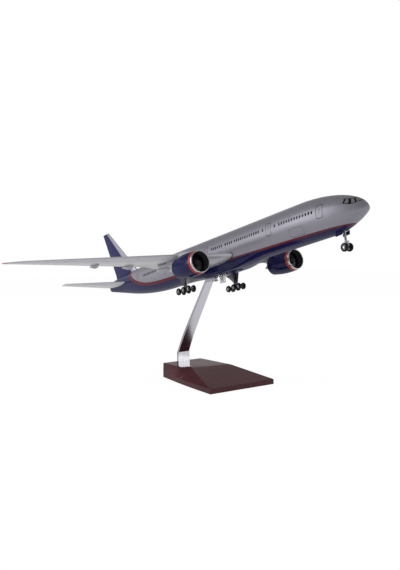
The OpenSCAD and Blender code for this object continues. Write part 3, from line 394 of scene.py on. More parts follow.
class Surface:
    """A material, or a world's node tree, being written."""

    def __init__(self, name, tree=None):
        if tree is None:
            self.material = bpy.data.materials.new(name)
            self.material.use_nodes = True
            tree = self.material.node_tree
        self.name = name
        self.tree = tree
        self.tree.nodes.clear()

    def add(self, kind, settings=None, inputs=None, output=0):
        node = self.tree.nodes.new(kind)
        for key, value in (settings or {}).items():
            if key == "stops":
                for place, colour in value[1:-1]:
                    node.color_ramp.elements.new(place)
                for element, (place, colour) in zip(node.color_ramp.elements, value):
                    element.position = place
                    element.color = colour
            else:
                setattr(node, key, value)
        for key, value in (inputs or {}).items():
            if isinstance(value, Wire):
                self.tree.links.new(value.socket, node.inputs[key])
            else:
                node.inputs[key].default_value = value
        return Wire(self, node.outputs[output]) if node.outputs else None

    def place(self):
        """The point on the object, in the row frame, in metres."""
        return self.add("ShaderNodeTexCoord", output="Object")

    def aircraft(self):
        """Station, port distance and height on the aircraft, in millimetres."""
        back = TO_AIRCRAFT.to_translation()
        point = self.add("ShaderNodeMapping", {"vector_type": "POINT"}, {
            "Vector": self.place(), "Scale": (1 / MM,) * 3, "Rotation": (0, PITCH, 0),
            "Location": tuple(back)})
        parts = [self.add("ShaderNodeSeparateXYZ", None, {0: point}, axis) for axis in "XYZ"]
        return parts[0] * -1.0, parts[1], parts[2]

    def noise(self, scale, detail=3.0, stretch=(1.0, 1.0, 1.0), rough=0.5):
        point = self.add("ShaderNodeMapping", None, {"Vector": self.place(), "Scale": stretch})
        return self.add("ShaderNodeTexNoise", None, {
            "Vector": point, "Scale": scale, "Detail": detail, "Roughness": rough})

    def blend(self, factor, low, high):
        """Low colour where the factor is 0, high colour where it is 1."""
        low, high = (c if isinstance(c, Wire) else (*c, 1.0) for c in (low, high))
        return self.add("ShaderNodeMix", {"data_type": "RGBA"},
                        {0: factor, 6: low, 7: high}, 2)

    def bump(self, height, strength):
        return self.add("ShaderNodeBump", None,
                        {"Height": height, "Strength": strength, "Distance": BUMP_DEPTH})

    def peel(self):
        """The faint waviness of sprayed paint."""
        return self.noise(420.0, 2.0)

    def finish(self, **sockets):
        """Adds the shader, its sockets named in words, and files the material."""
        inputs = {key.replace("_", " ").title().replace("Ior", "IOR"): value
                  for key, value in sockets.items()}
        for key in ("Base Color", "Emission Color"):
            if key in inputs and not isinstance(inputs[key], Wire):
                inputs[key] = (*inputs[key], 1.0)
        shader = self.add("ShaderNodeBsdfPrincipled", None, inputs)
        self.add("ShaderNodeOutputMaterial", None, {"Surface": shader})
        MATERIALS[self.name] = self.material


def shade(colour, depth):
    """A darker or, with a depth above 1, lighter colour."""
    return tuple(min(1.0, c * depth) for c in colour)


def worn(surface, colour, amount=0.12, scale=60.0):
    """A colour with a little cloudy change of depth."""
    return surface.blend(surface.noise(scale), shade(colour, 1 - amount), colour)


# The livery line: its upper edge rises gently aft, then sweeps up round the tail
LINE_Z, LINE_SLOPE, LINE_FROM = -13.5, 0.0192, 43.0
LINE_TURN, LINE_SQUARE, LINE_FOURTH = 295.0, 1.081e-3, 2.87e-7
BAND_NOSE, BAND_GROWTH, BAND_SQUARE = 1.25, 0.0068, 3e-4


def hull_paint(colours):
    surface = Surface("hull_paint")
    station, _, z = surface.aircraft()
    swept = (station - LINE_TURN).most(0.0)
    square = swept * swept
    line = LINE_Z + LINE_SLOPE * (station - LINE_FROM) + square * LINE_SQUARE \
        + square * square * LINE_FOURTH
    band = BAND_NOSE + station * BAND_GROWTH + square * BAND_SQUARE
    above = (z - line).mask()
    below = (line - band - z).mask()
    flakes = surface.noise(2600.0, 2.0)
    silver = surface.blend(flakes, shade(colours.silver, 0.86), colours.silver)
    lower = surface.blend(below, colours.red, worn(surface, colours.navy))
    surface.finish(
        base_color=surface.blend(above, lower, silver), metallic=above * 0.4,
        roughness=0.3 + above * 0.06 + flakes * 0.05,
        normal=surface.bump(surface.peel(), 0.06), specular_ior_level=0.0,
        coat_weight=0.33 - above * 0.21, coat_roughness=0.14)


def gloss_paint(name, colour, rough=0.24, coat=0.1, metal=0.0):
    surface = Surface(name)
    peel = surface.peel()
    surface.finish(
        base_color=worn(surface, colour), metallic=metal,
        roughness=rough + peel * 0.06, normal=surface.bump(peel, 0.06),
        specular_ior_level=0.0, coat_weight=coat, coat_roughness=0.12)


# The fin's bright leading edge: its width shrinks from the root to the tip
FIN_ROOT_Z, FIN_TOP = 19.55, 81.1
FIN_STATION, FIN_SLOPE = 379.0, math.tan(math.radians(44.8))
FIN_CHORD, FIN_TIP_CHORD = 54.0, 15.3
EDGE_ROOT_W, EDGE_TIP_W = 11.0, 4.6
RUDDER_SHARE, RUDDER_LINE_W = 0.7, 0.3
FIN_SUNK = 4.0


def fin_paint(colours):
    surface = Surface("fin_paint")
    station, _, z = surface.aircraft()
    height = (z - FIN_ROOT_Z) / (FIN_TOP - FIN_ROOT_Z)
    aft = station - FIN_STATION - (z - FIN_ROOT_Z).most(0.0) * FIN_SLOPE
    width = EDGE_ROOT_W - height * (EDGE_ROOT_W - EDGE_TIP_W)
    edge = (width - aft).mask()
    chord = FIN_CHORD - height * (FIN_CHORD - FIN_TIP_CHORD)
    hinge = (aft - chord * RUDDER_SHARE).line(RUDDER_LINE_W)
    # The fin's navy is painted lighter than the belly's: painted light, for the brighter light the
    # fin catches
    navy = worn(surface, shade(colours.navy, 1.3))
    colour = surface.blend(edge, navy, colours.silver)
    colour = surface.blend(hinge * 0.6, colour, shade(colours.navy, 0.3))
    surface.finish(
        base_color=colour, metallic=edge * 0.6, roughness=0.24 + edge * 0.1,
        normal=surface.bump(1 - hinge, 0.5), specular_ior_level=0.0,
        coat_weight=0.36 - edge * 0.3, coat_roughness=0.12)


SLAT_SHARE, FLAP_SHARE, SPOILER_SHARE = 0.11, 0.74, 0.6
FLAP_END, AILERON_END = 128.0, 182.0
SLAT_CUTS = (56.0, 70.0, 96.0, 124.0, 152.0)
FLAP_CUTS = (KINK_Y - 7, KINK_Y + 6, FLAP_END, AILERON_END)
PANEL_LINE_W = 0.28


def panelled(surface, colours, bright, lines):
    """Wing grey with a bright leading edge and dark, sunk panel lines."""
    colour = surface.blend(bright, worn(surface, colours.wing, 0.06), shade(colours.wing, 1.12))
    peel = surface.peel()
    surface.finish(
        base_color=surface.blend(lines * 0.55, colour, shade(colours.wing, 0.3)),
        metallic=0.12 + bright * 0.2, roughness=0.33 + peel * 0.06,
        normal=surface.bump(peel * 0.1 - lines, 0.5), coat_weight=0.3, coat_roughness=0.2)


def wing_paint(colours):
    """Light grey with the lines of the slats, flaps, spoilers and ailerons."""
    surface = Surface("wing_paint")
    station, port, _ = surface.aircraft()
    out = abs(port)
    lead = WING_STATION + (out - BODY_R).most(0.0) * WING_SLOPE
    inner = CHORDS[0][1] + (out - BODY_R) * ((CHORDS[1][1] - CHORDS[0][1]) / (KINK_Y - BODY_R))
    outer = CHORDS[1][1] + (out - KINK_Y) * ((CHORDS[2][1] - CHORDS[1][1]) / (RAKE_START - KINK_Y))
    chord = inner.most(outer)
    aft = station - lead
    moving = (AILERON_END - out).mask() * (out - BODY_R - 2).mask()
    lines = (aft - chord * SLAT_SHARE).line(PANEL_LINE_W) * moving
    lines = lines.most((aft - chord * FLAP_SHARE).line(PANEL_LINE_W) * moving)
    spoilers = (FLAP_END - out).mask() * (out - BODY_R - 6).mask()
    lines = lines.most((aft - chord * SPOILER_SHARE).line(PANEL_LINE_W) * spoilers)
    behind = (aft - chord * FLAP_SHARE).mask()
    for cut in FLAP_CUTS:
        lines = lines.most((out - cut).line(PANEL_LINE_W) * behind)
    ahead = (chord * SLAT_SHARE - aft).mask()
    for cut in SLAT_CUTS:
        lines = lines.most((out - cut).line(PANEL_LINE_W) * ahead)
    panelled(surface, colours, ahead, lines)


STAB_STATION, STAB_SLOPE = 394.0, math.tan(math.radians(40.5))
STAB_HALF, STAB_CHORD, STAB_TIP_CHORD = 69.5, 45.0, 14.0
STAB_Z, STAB_RISE = 5.9, math.tan(math.radians(8.6))
STAB_ROOT_Y = half_w(STAB_STATION) + 0.6
STAB_FOOT_Y = 1.0
STAB_SHARE, FIN_SHARE = 0.09, 0.095
ELEVATOR_SHARE = 0.68
STAB_EDGE_W = 3.2


def stabiliser_paint(colours):
    surface = Surface("stabiliser_paint")
    station, port, _ = surface.aircraft()
    out = (abs(port) - STAB_ROOT_Y).most(0.0)
    aft = station - STAB_STATION - out * STAB_SLOPE
    chord = STAB_CHORD - out * ((STAB_CHORD - STAB_TIP_CHORD) / (STAB_HALF - STAB_ROOT_Y))
    hinge = (aft - chord * ELEVATOR_SHARE).line(PANEL_LINE_W)
    panelled(surface, colours, (STAB_EDGE_W - aft).mask(), hinge)


ENGINE = aircraft_point("fan_left_spin")
FAN_MID_Z = 8.8
INLET_STATION = -ENGINE.x - FAN_MID_Z
COWL_L, COWL_R, THROAT_R = 36.0, 12.1, 9.75
LIP_L = 2.6
RED_BAND_L = 2.6
REAR_RIM_L = 0.9
COWL_JOINTS, COWL_JOINT_W = (15.5, 26.0), 0.22
DUCT_PAINT_R = THROAT_R + 0.6


def cowl_paint(colours):
    surface = Surface("cowl_paint")
    station, port, z = surface.aircraft()
    back = station - INLET_STATION
    band = (LIP_L + RED_BAND_L - back).mask()
    rim = (back - COWL_L + REAR_RIM_L).mask()
    out, up = abs(port) - ENGINE.y, z - ENGINE.z
    inside = (DUCT_PAINT_R ** 2 - out * out - up * up).mask(0.5)
    colour = surface.blend(band, worn(surface, colours.navy), colours.orange)
    colour = surface.blend(rim, colour, colours.wing)
    first, second = ((back - spot).line(COWL_JOINT_W) for spot in COWL_JOINTS)
    joint = first.most(second)
    colour = surface.blend(joint * 0.5, colour, shade(colours.navy, 0.35))
    colour = surface.blend(inside, colour, seen(70, 70, 74))
    peel = surface.peel()
    surface.finish(
        base_color=colour, metallic=rim * 0.3, roughness=0.17 + inside * 0.25 + peel * 0.05,
        normal=surface.bump(peel * 0.1 - joint, 0.3), specular_ior_level=0.0,
        coat_weight=0.3, coat_roughness=0.05)


def metal(name, colour, rough, scale=900.0):
    """Bare metal with fine marks."""
    surface = Surface(name)
    marks = surface.noise(scale, 4.0)
    surface.finish(
        base_color=worn(surface, colour, 0.08), metallic=1.0,
        roughness=rough + marks * 0.05, normal=surface.bump(marks, 0.08))


TAB_TOP_Z = 0.0265


def strip_metal():
    """Polished plate: a mirror at its foot, finely brushed above, with duller cut edges."""
    surface = Surface("strip_metal")
    marks = surface.noise(700.0, 4.0, (0.28, 1.0, 1.0))
    across = surface.add("ShaderNodeTexCoord", output="Normal")
    edge = (abs(surface.add("ShaderNodeSeparateXYZ", None, {0: across}, "Y")) - 0.6).mask(0.1)
    height = surface.add("ShaderNodeSeparateXYZ", None, {0: surface.place()}, "Z")
    brushed = (height - TAB_TOP_Z).mask(0.0006)
    face = surface.blend(brushed, seen(196, 196, 202), seen(190, 189, 196))
    surface.finish(
        base_color=surface.blend(edge, face, seen(134, 133, 140)), metallic=1.0,
        roughness=brushed * 0.1 + edge * 0.12 + marks * 0.04 + 0.1,
        normal=surface.bump(marks, 0.01))


def tyre_rubber(colours):
    surface = Surface("tyre_rubber")
    dust = surface.noise(700.0, 5.0)
    surface.finish(
        base_color=surface.blend(dust, colours.rubber, shade(colours.rubber, 1.7)),
        roughness=0.5 + dust * 0.2, normal=surface.bump(dust, 0.2),
        specular_ior_level=0.15)


def lacquered_wood(colours):
    """Dark reddish wood under a clear gloss; the grain runs along the base."""
    surface = Surface("lacquered_wood")
    warp = surface.noise(18.0, 3.0)
    bent = surface.add("ShaderNodeVectorMath", {"operation": "SCALE"},
                       {0: surface.place(), "Scale": warp * 0.05 + 1.0})
    stretched = surface.add("ShaderNodeMapping", None, {
        "Vector": bent, "Scale": (0.35, 6.0, 6.0)})
    grain = surface.add("ShaderNodeTexNoise", None, {
        "Vector": stretched, "Scale": 34.0, "Detail": 6.0, "Roughness": 0.62})
    pores = surface.noise(260.0, 3.0, (0.06, 1.6, 1.6), 0.7)
    pore = (0.38 - pores).mask(0.12)
    colour = surface.blend(grain, shade(colours.wood, 0.5), shade(colours.wood, 1.35))
    colour = surface.blend(pore * 0.5, colour, shade(colours.wood, 0.25))
    surface.finish(
        base_color=colour, roughness=0.34 + grain * 0.12,
        normal=surface.bump(grain * 0.4 - pore, 0.03), specular_ior_level=0.0,
        coat_weight=0.33, coat_roughness=0.03)


def plain_wood():
    surface = Surface("plain_wood")
    grain = surface.noise(60.0, 5.0, (0.1, 2.0, 2.0))
    surface.finish(
        base_color=surface.blend(grain, seen(120, 92, 60), seen(170, 136, 92)),
        roughness=0.6 + grain * 0.1, normal=surface.bump(grain, 0.15))


def clear_plastic():
    surface = Surface("clear_plastic")
    haze = surface.noise(300.0, 2.0)
    surface.finish(
        base_color=surface.blend(haze, seen(226, 228, 232), seen(246, 247, 249)),
        roughness=0.12 + haze * 0.05, alpha=haze * 0.1 + 0.34, coat_weight=0.5,
        coat_roughness=0.03)


def printed_glass(name, scale, dark, pale, rough, coat, coat_rough):
    """A pane that is painted on, a little uneven in depth."""
    surface = Surface(name)
    depth = surface.noise(scale, 2.0)
    surface.finish(
        base_color=surface.blend(depth, dark, pale), roughness=rough + depth * 0.05,
        specular_ior_level=0.0, coat_weight=coat, coat_roughness=coat_rough)


def print_ink(name, colour):
    """Flat printed ink."""
    surface = Surface(name)
    surface.finish(base_color=worn(surface, colour, 0.15, 200.0), specular_ior_level=0.1,
                   roughness=0.4 + surface.noise(500.0) * 0.05)


def lamp_lens(name, colour, glow):
    surface = Surface(name)
    depth = surface.noise(200.0, 2.0)
    surface.finish(
        base_color=surface.blend(depth, shade(colour, 0.75), colour),
        roughness=0.15 + depth * 0.05, coat_weight=0.6, coat_roughness=0.05,
        emission_color=colour, emission_strength=glow)


def write_materials(colours):
    for write in (hull_paint, fin_paint, wing_paint, stabiliser_paint, cowl_paint, tyre_rubber,
                  lacquered_wood):
        write(colours)
    for write in (strip_metal, plain_wood, clear_plastic):
        write()
    gloss_paint("navy_paint", colours.navy, 0.18, 0.32)
    # The nose doors' navy is darker than the belly's: painted shade under the nose
    gloss_paint("door_navy", shade(colours.navy, 0.7), 0.3, 0.04)
    gloss_paint("grey_paint", colours.wing, 0.32, 0.3, 0.12)
    gloss_paint("spinner_paint", seen(64, 64, 68), 0.3)
    gloss_paint("door_paint", seen(110, 110, 116), 0.3)
    metal("lip_silver", seen(172, 171, 174), 0.3)
    metal("fan_metal", seen(58, 58, 62), 0.3)
    metal("core_metal", seen(120, 118, 120), 0.32)
    metal("gear_metal", seen(134, 134, 140), 0.45)
    metal("leg_metal", seen(84, 84, 90), 0.36)
    metal("hub_metal", seen(122, 122, 127), 0.34)
    metal("axle_steel", seen(180, 180, 184), 0.25, 1500.0)
    metal("screw_steel", seen(170, 170, 172), 0.25)
    printed_glass("window_glass", 90.0, seen(12, 12, 20), seen(26, 26, 38), 0.25, 0.1, 0.1)
    # The cockpit panes' mid to pale grey stands in for the bright room mirrored in the sloping
    # glass: painted reflection
    printed_glass("cockpit_glass", 140.0, seen(98, 100, 100), seen(150, 150, 148), 0.2, 0.3, 0.05)
    print_ink("frame_ink", seen(17, 17, 20))
    print_ink("line_ink", seen(58, 56, 64))
    print_ink("faint_ink", seen(122, 116, 128))
    lamp_lens("tip_lens", colours.orange, 0.0)
    lamp_lens("bulb_glass", seen(236, 232, 214), 0.05)


def material(name):
    """A material by name; all are written when the first is asked for."""
    if not MATERIALS:
        write_materials(bpy.context.scene.airliner_colours)
    return MATERIALS[name]


# Meshes

def mesh_of(name, bm):
    mesh = bpy.data.meshes.new(name)
    bm.to_mesh(mesh)
    bm.free()
    return mesh


def placed(name, data):
    """A new object in the scene, at the origin."""
    piece = bpy.data.objects.new(name, data)
    bpy.context.scene.collection.objects.link(piece)
    return piece


def finish_piece(name, bm, finish, body="airframe", stands_for=(), place=TO_ROW,
                 angle=38.0):
    """Turns a bmesh into a piece in the row frame that rides on a body."""
    mesh = mesh_of(name, bm)
    mesh.transform(place)
    mesh.shade_smooth()
    mesh.set_sharp_from_angle(angle=math.radians(angle))
    mesh.materials.append(material(finish))
    piece = placed(name, mesh)
    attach(piece, body)
    if stands_for:
        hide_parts(*stands_for)
    return piece


def add_modifier(piece, kind, **settings):
    modifier = piece.modifiers.new(kind.title(), kind)
    for key, value in settings.items():
        setattr(modifier, key, value)


def add_part(bm, part):
    """Moves a small bmesh into a larger one."""
    mesh = mesh_of("part", part)
    bm.from_mesh(mesh)
    bpy.data.meshes.remove(mesh)


def first_ring(bm, points):
    ring = bmesh.ops.create_circle(bm, segments=len(points), radius=1)["verts"]
    for vert, point in zip(ring, points):
        vert.co = point
    return ring


def ring_edges(bm, ring):
    return [bm.edges.get((ring[i - 1], ring[i])) for i in range(len(ring))]


def next_ring(bm, ring, points):
    """Extrudes a ring to its next place."""
    made = bmesh.ops.extrude_edge_only(bm, edges=ring_edges(bm, ring))["geom"]
    fresh = {v for v in made if isinstance(v, bmesh.types.BMVert)}
    onward = [next(e.other_vert(v) for e in v.link_edges if e.other_vert(v) in fresh)
              for v in ring]
    for vert, point in zip(onward, points):
        vert.co = point
    return onward


def close_ring(bm, ring, pole=None):
    faces = bmesh.ops.edgeloop_fill(bm, edges=ring_edges(bm, ring))["faces"]
    if pole is not None:
        centre = bmesh.ops.poke(bm, faces=faces)["verts"][0]
        centre.co = pole


def loft(bm, rings, poles=(None, None)):
    """A closed shape through rings of the same count."""
    start = ring = first_ring(bm, rings[0])
    for points in rings[1:]:
        ring = next_ring(bm, ring, points)
    close_ring(bm, start, poles[0])
    close_ring(bm, ring, poles[1])
    bmesh.ops.recalc_face_normals(bm, faces=bm.faces)


def turned(bm, profile, steps):
    """Spins a profile of (radius, height) points once about Z."""
    verts = [bm.verts.new((radius, 0, height)) for radius, height in profile]
    edges = [bm.edges.new(pair) for pair in zip(verts, verts[1:])]
    bmesh.ops.spin(bm, geom=verts + edges, cent=(0, 0, 0), axis=(0, 0, 1),
                   angle=2 * math.pi, steps=steps, use_merge=True)
    bmesh.ops.remove_doubles(bm, verts=bm.verts, dist=1e-4)
    bmesh.ops.recalc_face_normals(bm, faces=bm.faces)


def merged_copy(node, name, finish, body="airframe", flat=1.0, angle=35.0, bevel=0.0):
    """A CAD node's shape with its loose triangles merged, for smooth shading."""
    bm = bmesh.new()
    bm.from_mesh(frame["nodes"][node].data)
    bmesh.ops.remove_doubles(bm, verts=bm.verts, dist=2e-6)
    bmesh.ops.dissolve_limit(bm, angle_limit=math.radians(flat), verts=bm.verts, edges=bm.edges)
    piece = finish_piece(name, bm, finish, body, (node,), Matrix.Identity(4), angle)
    for attribute in list(piece.data.attributes):
        if attribute.name == "custom_normal":
            piece.data.attributes.remove(attribute)
    if bevel:
        add_modifier(piece, "BEVEL", width=bevel, segments=2, limit_method="ANGLE",
                     angle_limit=math.radians(40), profile=0.5, material=-1,
                     harden_normals=False)


def spread(count, start, end):
    """Even steps from start to end, both included."""
    return [mix(start, end, i / (count - 1)) for i in range(count)]


def circle(count):
    return [2 * math.pi * i / count for i in range(count)]


# Hull

HULL_SEGMENTS = 96
NOSE_RINGS, MIDDLE_RINGS, TAIL_RINGS = 34, 20, 44
FIRST_STATION = 0.05
SPLIT_GAP = 0.004


def hull_stations():
    """Stations of the hull's rings, closest together at the nose."""
    nose = [NOSE_SIDE_L * (i / NOSE_RINGS) ** 2 for i in range(1, NOSE_RINGS + 1)]
    middle = spread(MIDDLE_RINGS, NOSE_SIDE_L, TAIL_START)[1:]
    tail = spread(TAIL_RINGS, TAIL_START, BODY_L)[1:]
    return [FIRST_STATION] + nose + middle + tail


class AIRLINER_OT_hull(bpy.types.Operator):
    """Builds the two smooth shells of the fuselage"""

    bl_idname = "airliner.hull"
    bl_label = "Fuselage shells"

    def execute(self, context):
        sizes = context.scene.airliner_hull
        for side_name, side in SIDES.items():
            bm = bmesh.new()
            rings = [[hull_point(s, angle) for angle in circle(HULL_SEGMENTS)]
                     for s in hull_stations()]
            nose = Vector((0, 0, rings[0][0].z - LEAST_R))
            tail = Vector((-BODY_L, 0, (top_z(BODY_L) + low_z(BODY_L)) / 2))
            loft(bm, rings, (nose, tail))
            bmesh.ops.bisect_plane(
                bm, geom=bm.verts[:] + bm.edges[:] + bm.faces[:], dist=1e-5,
                plane_co=(0, side * SPLIT_GAP, 0), plane_no=(0, -side, 0), clear_outer=True)
            shell = finish_piece("hull_" + side_name, bm, "hull_paint",
                                 stands_for=("fuselage_" + side_name,), angle=60)
            add_modifier(shell, "SOLIDIFY", thickness=sizes.skin_t, offset=-1)
        return {"FINISHED"}


FAIRING_START, FAIRING_L = 130.0, 141.0
FAIRING_W, FAIRING_CORNER = 28.4, 5.0
FAIRING_LOW = BODY_R + 3.0
FAIRING_FRONT_SHARE, FAIRING_REAR_SHARE = 0.34, 0.4
FAIRING_PROUD, FAIRING_SUNK = 0.12, 0.3
FAIRING_RINGS, FAIRING_COLUMNS = 40, 28


def fairing_fill(s):
    """How far the fairing has left the hull: 0 at its ends, 1 along its flat middle."""
    t = (s - FAIRING_START) / FAIRING_L
    return min(ease(t / FAIRING_FRONT_SHARE), ease((1 - t) / FAIRING_REAR_SHARE))


def hull_belly(y):
    return -math.sqrt(BODY_R ** 2 - y * y)


def fairing_low(y, fill):
    past = max(0.0, abs(y) - (FAIRING_W / 2 - FAIRING_CORNER))
    flat = -FAIRING_LOW + FAIRING_CORNER - math.sqrt(max(0.0, FAIRING_CORNER ** 2 - past ** 2))
    thin = hull_belly(y) - FAIRING_PROUD
    return mix(thin, min(flat, thin), fill)


class AIRLINER_OT_belly_fairing(bpy.types.Operator):
    """Builds the smooth tray under the middle of the hull"""

    bl_idname = "airliner.belly_fairing"
    bl_label = "Belly fairing"

    def execute(self, context):
        bm = bmesh.new()
        ys = [-FAIRING_W / 2 * math.cos(math.pi * i / FAIRING_COLUMNS)
              for i in range(FAIRING_COLUMNS + 1)]
        rings = []
        for s in spread(FAIRING_RINGS, FAIRING_START, FAIRING_START + FAIRING_L):
            upper = [Vector((-s, y, hull_belly(y) + FAIRING_SUNK)) for y in ys]
            lower = [Vector((-s, y, fairing_low(y, fairing_fill(s)))) for y in reversed(ys)]
            rings.append(upper + lower)
        loft(bm, rings)
        finish_piece("belly_tray", bm, "navy_paint",
                     stands_for=("belly_fairing",), angle=50)
        return {"FINISHED"}


# Wings and tail

# Rings from the root to the kink, to the rake, to the tip lamp and along the lamp
INNER_RINGS, OUTER_RINGS, RAKED_RINGS, LAMP_RINGS = 8, 14, 6, 6
FIN_RINGS, STAB_RINGS = 14, 12
# Flap-track fairings: place along the wing, length and height of each
CANOES = ((48.0, 30.0, 4.4), (86.0, 26.0, 3.6), (120.0, 23.0, 3.2))
CANOE_SLIM, CANOE_AHEAD, CANOE_FULLNESS = 0.075, 0.78, 0.8
CANOE_RINGS, CANOE_SEGMENTS = 26, 28
CANOE_TRIM, CANOE_LEAST, CANOE_DROP = 0.02, 0.05, 0.05
# The dark line round the wing's root, partly its seam and partly painted shade where the wing
# meets the hull: its width and its shift up and ahead
ROOT_SHADE_W = 0.4
ROOT_SHADE_SHIFT = Vector((-0.14, -0.14))
TIP_LAMP_GAP = 0.05


class AIRLINER_OT_wings(bpy.types.Operator):
    """Builds the wings, their coloured tip lamps and the flap-track fairings"""

    bl_idname = "airliner.wings"
    bl_label = "Wings"

    def execute(self, context):
        lamp_y = WING_HALF - TIP_LAMP_L
        inner = spread(INNER_RINGS, WING_ROOT_Y, KINK_Y)
        outer = spread(OUTER_RINGS, KINK_Y, RAKE_START)[1:]
        raked = spread(RAKED_RINGS, RAKE_START, lamp_y)[1:]
        lamp = spread(LAMP_RINGS, lamp_y + TIP_LAMP_GAP, WING_HALF)
        for side_name, side in SIDES.items():
            bm = bmesh.new()
            loft(bm, [wing_ring(y, side) for y in inner + outer + raked])
            finish_piece("wing_skin_" + side_name, bm, "wing_paint",
                         stands_for=("wing_" + side_name,), angle=40)
            bm = bmesh.new()
            loft(bm, [wing_ring(y, side) for y in lamp])
            finish_piece("tip_lamp_" + side_name, bm, "tip_lens",
                         stands_for=("tip_light_" + side_name,), angle=40)
            self.build_canoes(side_name, side)
            self.build_root_shade_line(side_name, side)
        return {"FINISHED"}

    def build_root_shade_line(self, side_name, side):
        """The dark line where the wing's root meets the hull: partly its seam, partly painted
        shade.
        """
        bm = bmesh.new()
        root = root_outline()
        outer = [point + ROOT_SHADE_SHIFT for point in grown(root, ROOT_SHADE_W)]
        print_line(bm, outer, root, lambda s, z, lift: hull_side(s, z, side, lift))
        bmesh.ops.recalc_face_normals(bm, faces=bm.faces)
        finish_piece("wing_joint_" + side_name, bm, "frame_ink")

    def build_canoes(self, side_name, side):
        """Slim fairings under the trailing edge, one over each flap track."""
        bm = bmesh.new()
        for y, length, height in CANOES:
            rings = []
            for t in spread(CANOE_RINGS, CANOE_TRIM, 1 - CANOE_TRIM):
                s = wing_le(y) + wing_chord(y) + length * (t - CANOE_AHEAD)
                grow = max(CANOE_LEAST, math.sin(math.pi * t ** CANOE_FULLNESS))
                ring = []
                for angle in circle(CANOE_SEGMENTS):
                    out = y + length * CANOE_SLIM * grow * math.cos(angle)
                    deep = min(0.0, height * grow * math.sin(angle))
                    ring.append(Vector((-s, side * out, canoe_roof(s, out) - CANOE_DROP + deep)))
                rings.append(ring)
            part = bmesh.new()
            loft(part, rings)
            add_part(bm, part)
        finish_piece("flap_tracks_" + side_name, bm, "grey_paint",
                     stands_for=("flap_fairings_" + side_name,), angle=50)


def root_outline():
    """Where the wing's skin meets the hull, as (station, height), round its leading edge."""
    outline = []
    for i in range(len(wing_ring(BODY_R, 1))):
        out = BODY_R
        for _ in range(5):
            point = wing_ring(out, 1)[i]
            out = hull_side(-point.x, point.z, 1).y
        outline.append(Vector((-point.x, point.z)))
    return outline


def grown(outline, width):
    """An outline that runs anticlockwise, with each side moved outward by the width."""
    points = []
    for i, point in enumerate(outline):
        ways = [(point - outline[i - 1]).normalized(),
                (outline[(i + 1) % len(outline)] - point).normalized()]
        sides = [Vector((way.y, -way.x)) for way in ways]
        outward = (sides[0] + sides[1]).normalized()
        points.append(point + outward * (width / max(0.5, outward.dot(sides[0]))))
    return points


def fin_ring(z, steps=22):
    t = clamp01((z - FIN_ROOT_Z) / (FIN_TOP - FIN_ROOT_Z))
    lead = FIN_STATION + max(0.0, z - FIN_ROOT_Z) * FIN_SLOPE
    chord = mix(FIN_CHORD, FIN_TIP_CHORD, t)
    return [Vector((-lead - aft, up, z)) for aft, up in foil_outline(chord, FIN_SHARE, steps)]


def stabiliser_ring(y, side, steps=20):
    out = max(0.0, y - STAB_ROOT_Y)
    chord = mix(STAB_CHORD, STAB_TIP_CHORD, out / (STAB_HALF - STAB_ROOT_Y))
    lead, level = STAB_STATION + out * STAB_SLOPE, STAB_Z + out * STAB_RISE
    return [Vector((-lead - aft, side * y, level + up))
            for aft, up in foil_outline(chord, STAB_SHARE, steps)]


class AIRLINER_OT_tail(bpy.types.Operator):
    """Builds the fin and the tailplane"""

    bl_idname = "airliner.tail"
    bl_label = "Tail"

    def execute(self, context):
        bm = bmesh.new()
        foot = top_z(FIN_STATION + FIN_CHORD) - FIN_SUNK
        loft(bm, [fin_ring(z) for z in [foot] + spread(FIN_RINGS, FIN_ROOT_Z, FIN_TOP)])
        finish_piece("fin_skin", bm, "fin_paint", stands_for=("fin",), angle=40)
        for side_name, side in SIDES.items():
            bm = bmesh.new()
            ys = [STAB_FOOT_Y] + spread(STAB_RINGS, STAB_ROOT_Y, STAB_HALF)
            loft(bm, [stabiliser_ring(y, side) for y in ys])
            finish_piece("tailplane_" + side_name, bm, "stabiliser_paint",
                         stands_for=("stabiliser_" + side_name,), angle=40)
        return {"FINISHED"}


# What is drawn on the hull

def round_rect(width, height, radius, steps=3):
    """Corners of an upright rectangle with round corners, centred on nought."""
    points = []
    for corner, (cx, cy) in enumerate(((1, 1), (-1, 1), (-1, -1), (1, -1))):
        for i in range(steps + 1):
            angle = math.pi / 2 * (corner + i / steps)
            points.append((cx * (width / 2 - radius) + radius * math.cos(angle),
                           cy * (height / 2 - radius) + radius * math.sin(angle)))
    return points


WINDOW_Z = 3.4
WINDOW_ROUND = 0.42
PRINT_LIFT, PRINT_ROOT = 0.035, -0.12
# First station and count of each run of cabin windows
WINDOW_RUNS = ((49.0, 13), (95.9, 1), (112.9, 1), (119.2, 12), (161.2, 4), (178.0, 6),
               (214.5, 1), (219.0, 10), (256.0, 8), (297.0, 13))


def print_patch(bm, outline, put):
    """A thin raised patch on the skin; put turns (across, up, lift) into a point."""
    start = first_ring(bm, [put(a, b, PRINT_ROOT) for a, b in outline])
    ring = next_ring(bm, start, [put(a, b, PRINT_LIFT) for a, b in outline])
    close_ring(bm, start)
    close_ring(bm, ring, put(0, 0, PRINT_LIFT))


def print_line(bm, outer, inner, put):
    """A thin raised closed line on the skin, between two outlines of the same count."""
    rings = ((outer, PRINT_ROOT), (outer, PRINT_LIFT), (inner, PRINT_LIFT), (inner, PRINT_ROOT))
    start = ring = first_ring(bm, [put(a, b, PRINT_ROOT) for a, b in outer])
    for outline, lift in rings[1:]:
        ring = next_ring(bm, ring, [put(a, b, lift) for a, b in outline])
    bmesh.ops.bridge_loops(bm, edges=ring_edges(bm, start) + ring_edges(bm, ring))


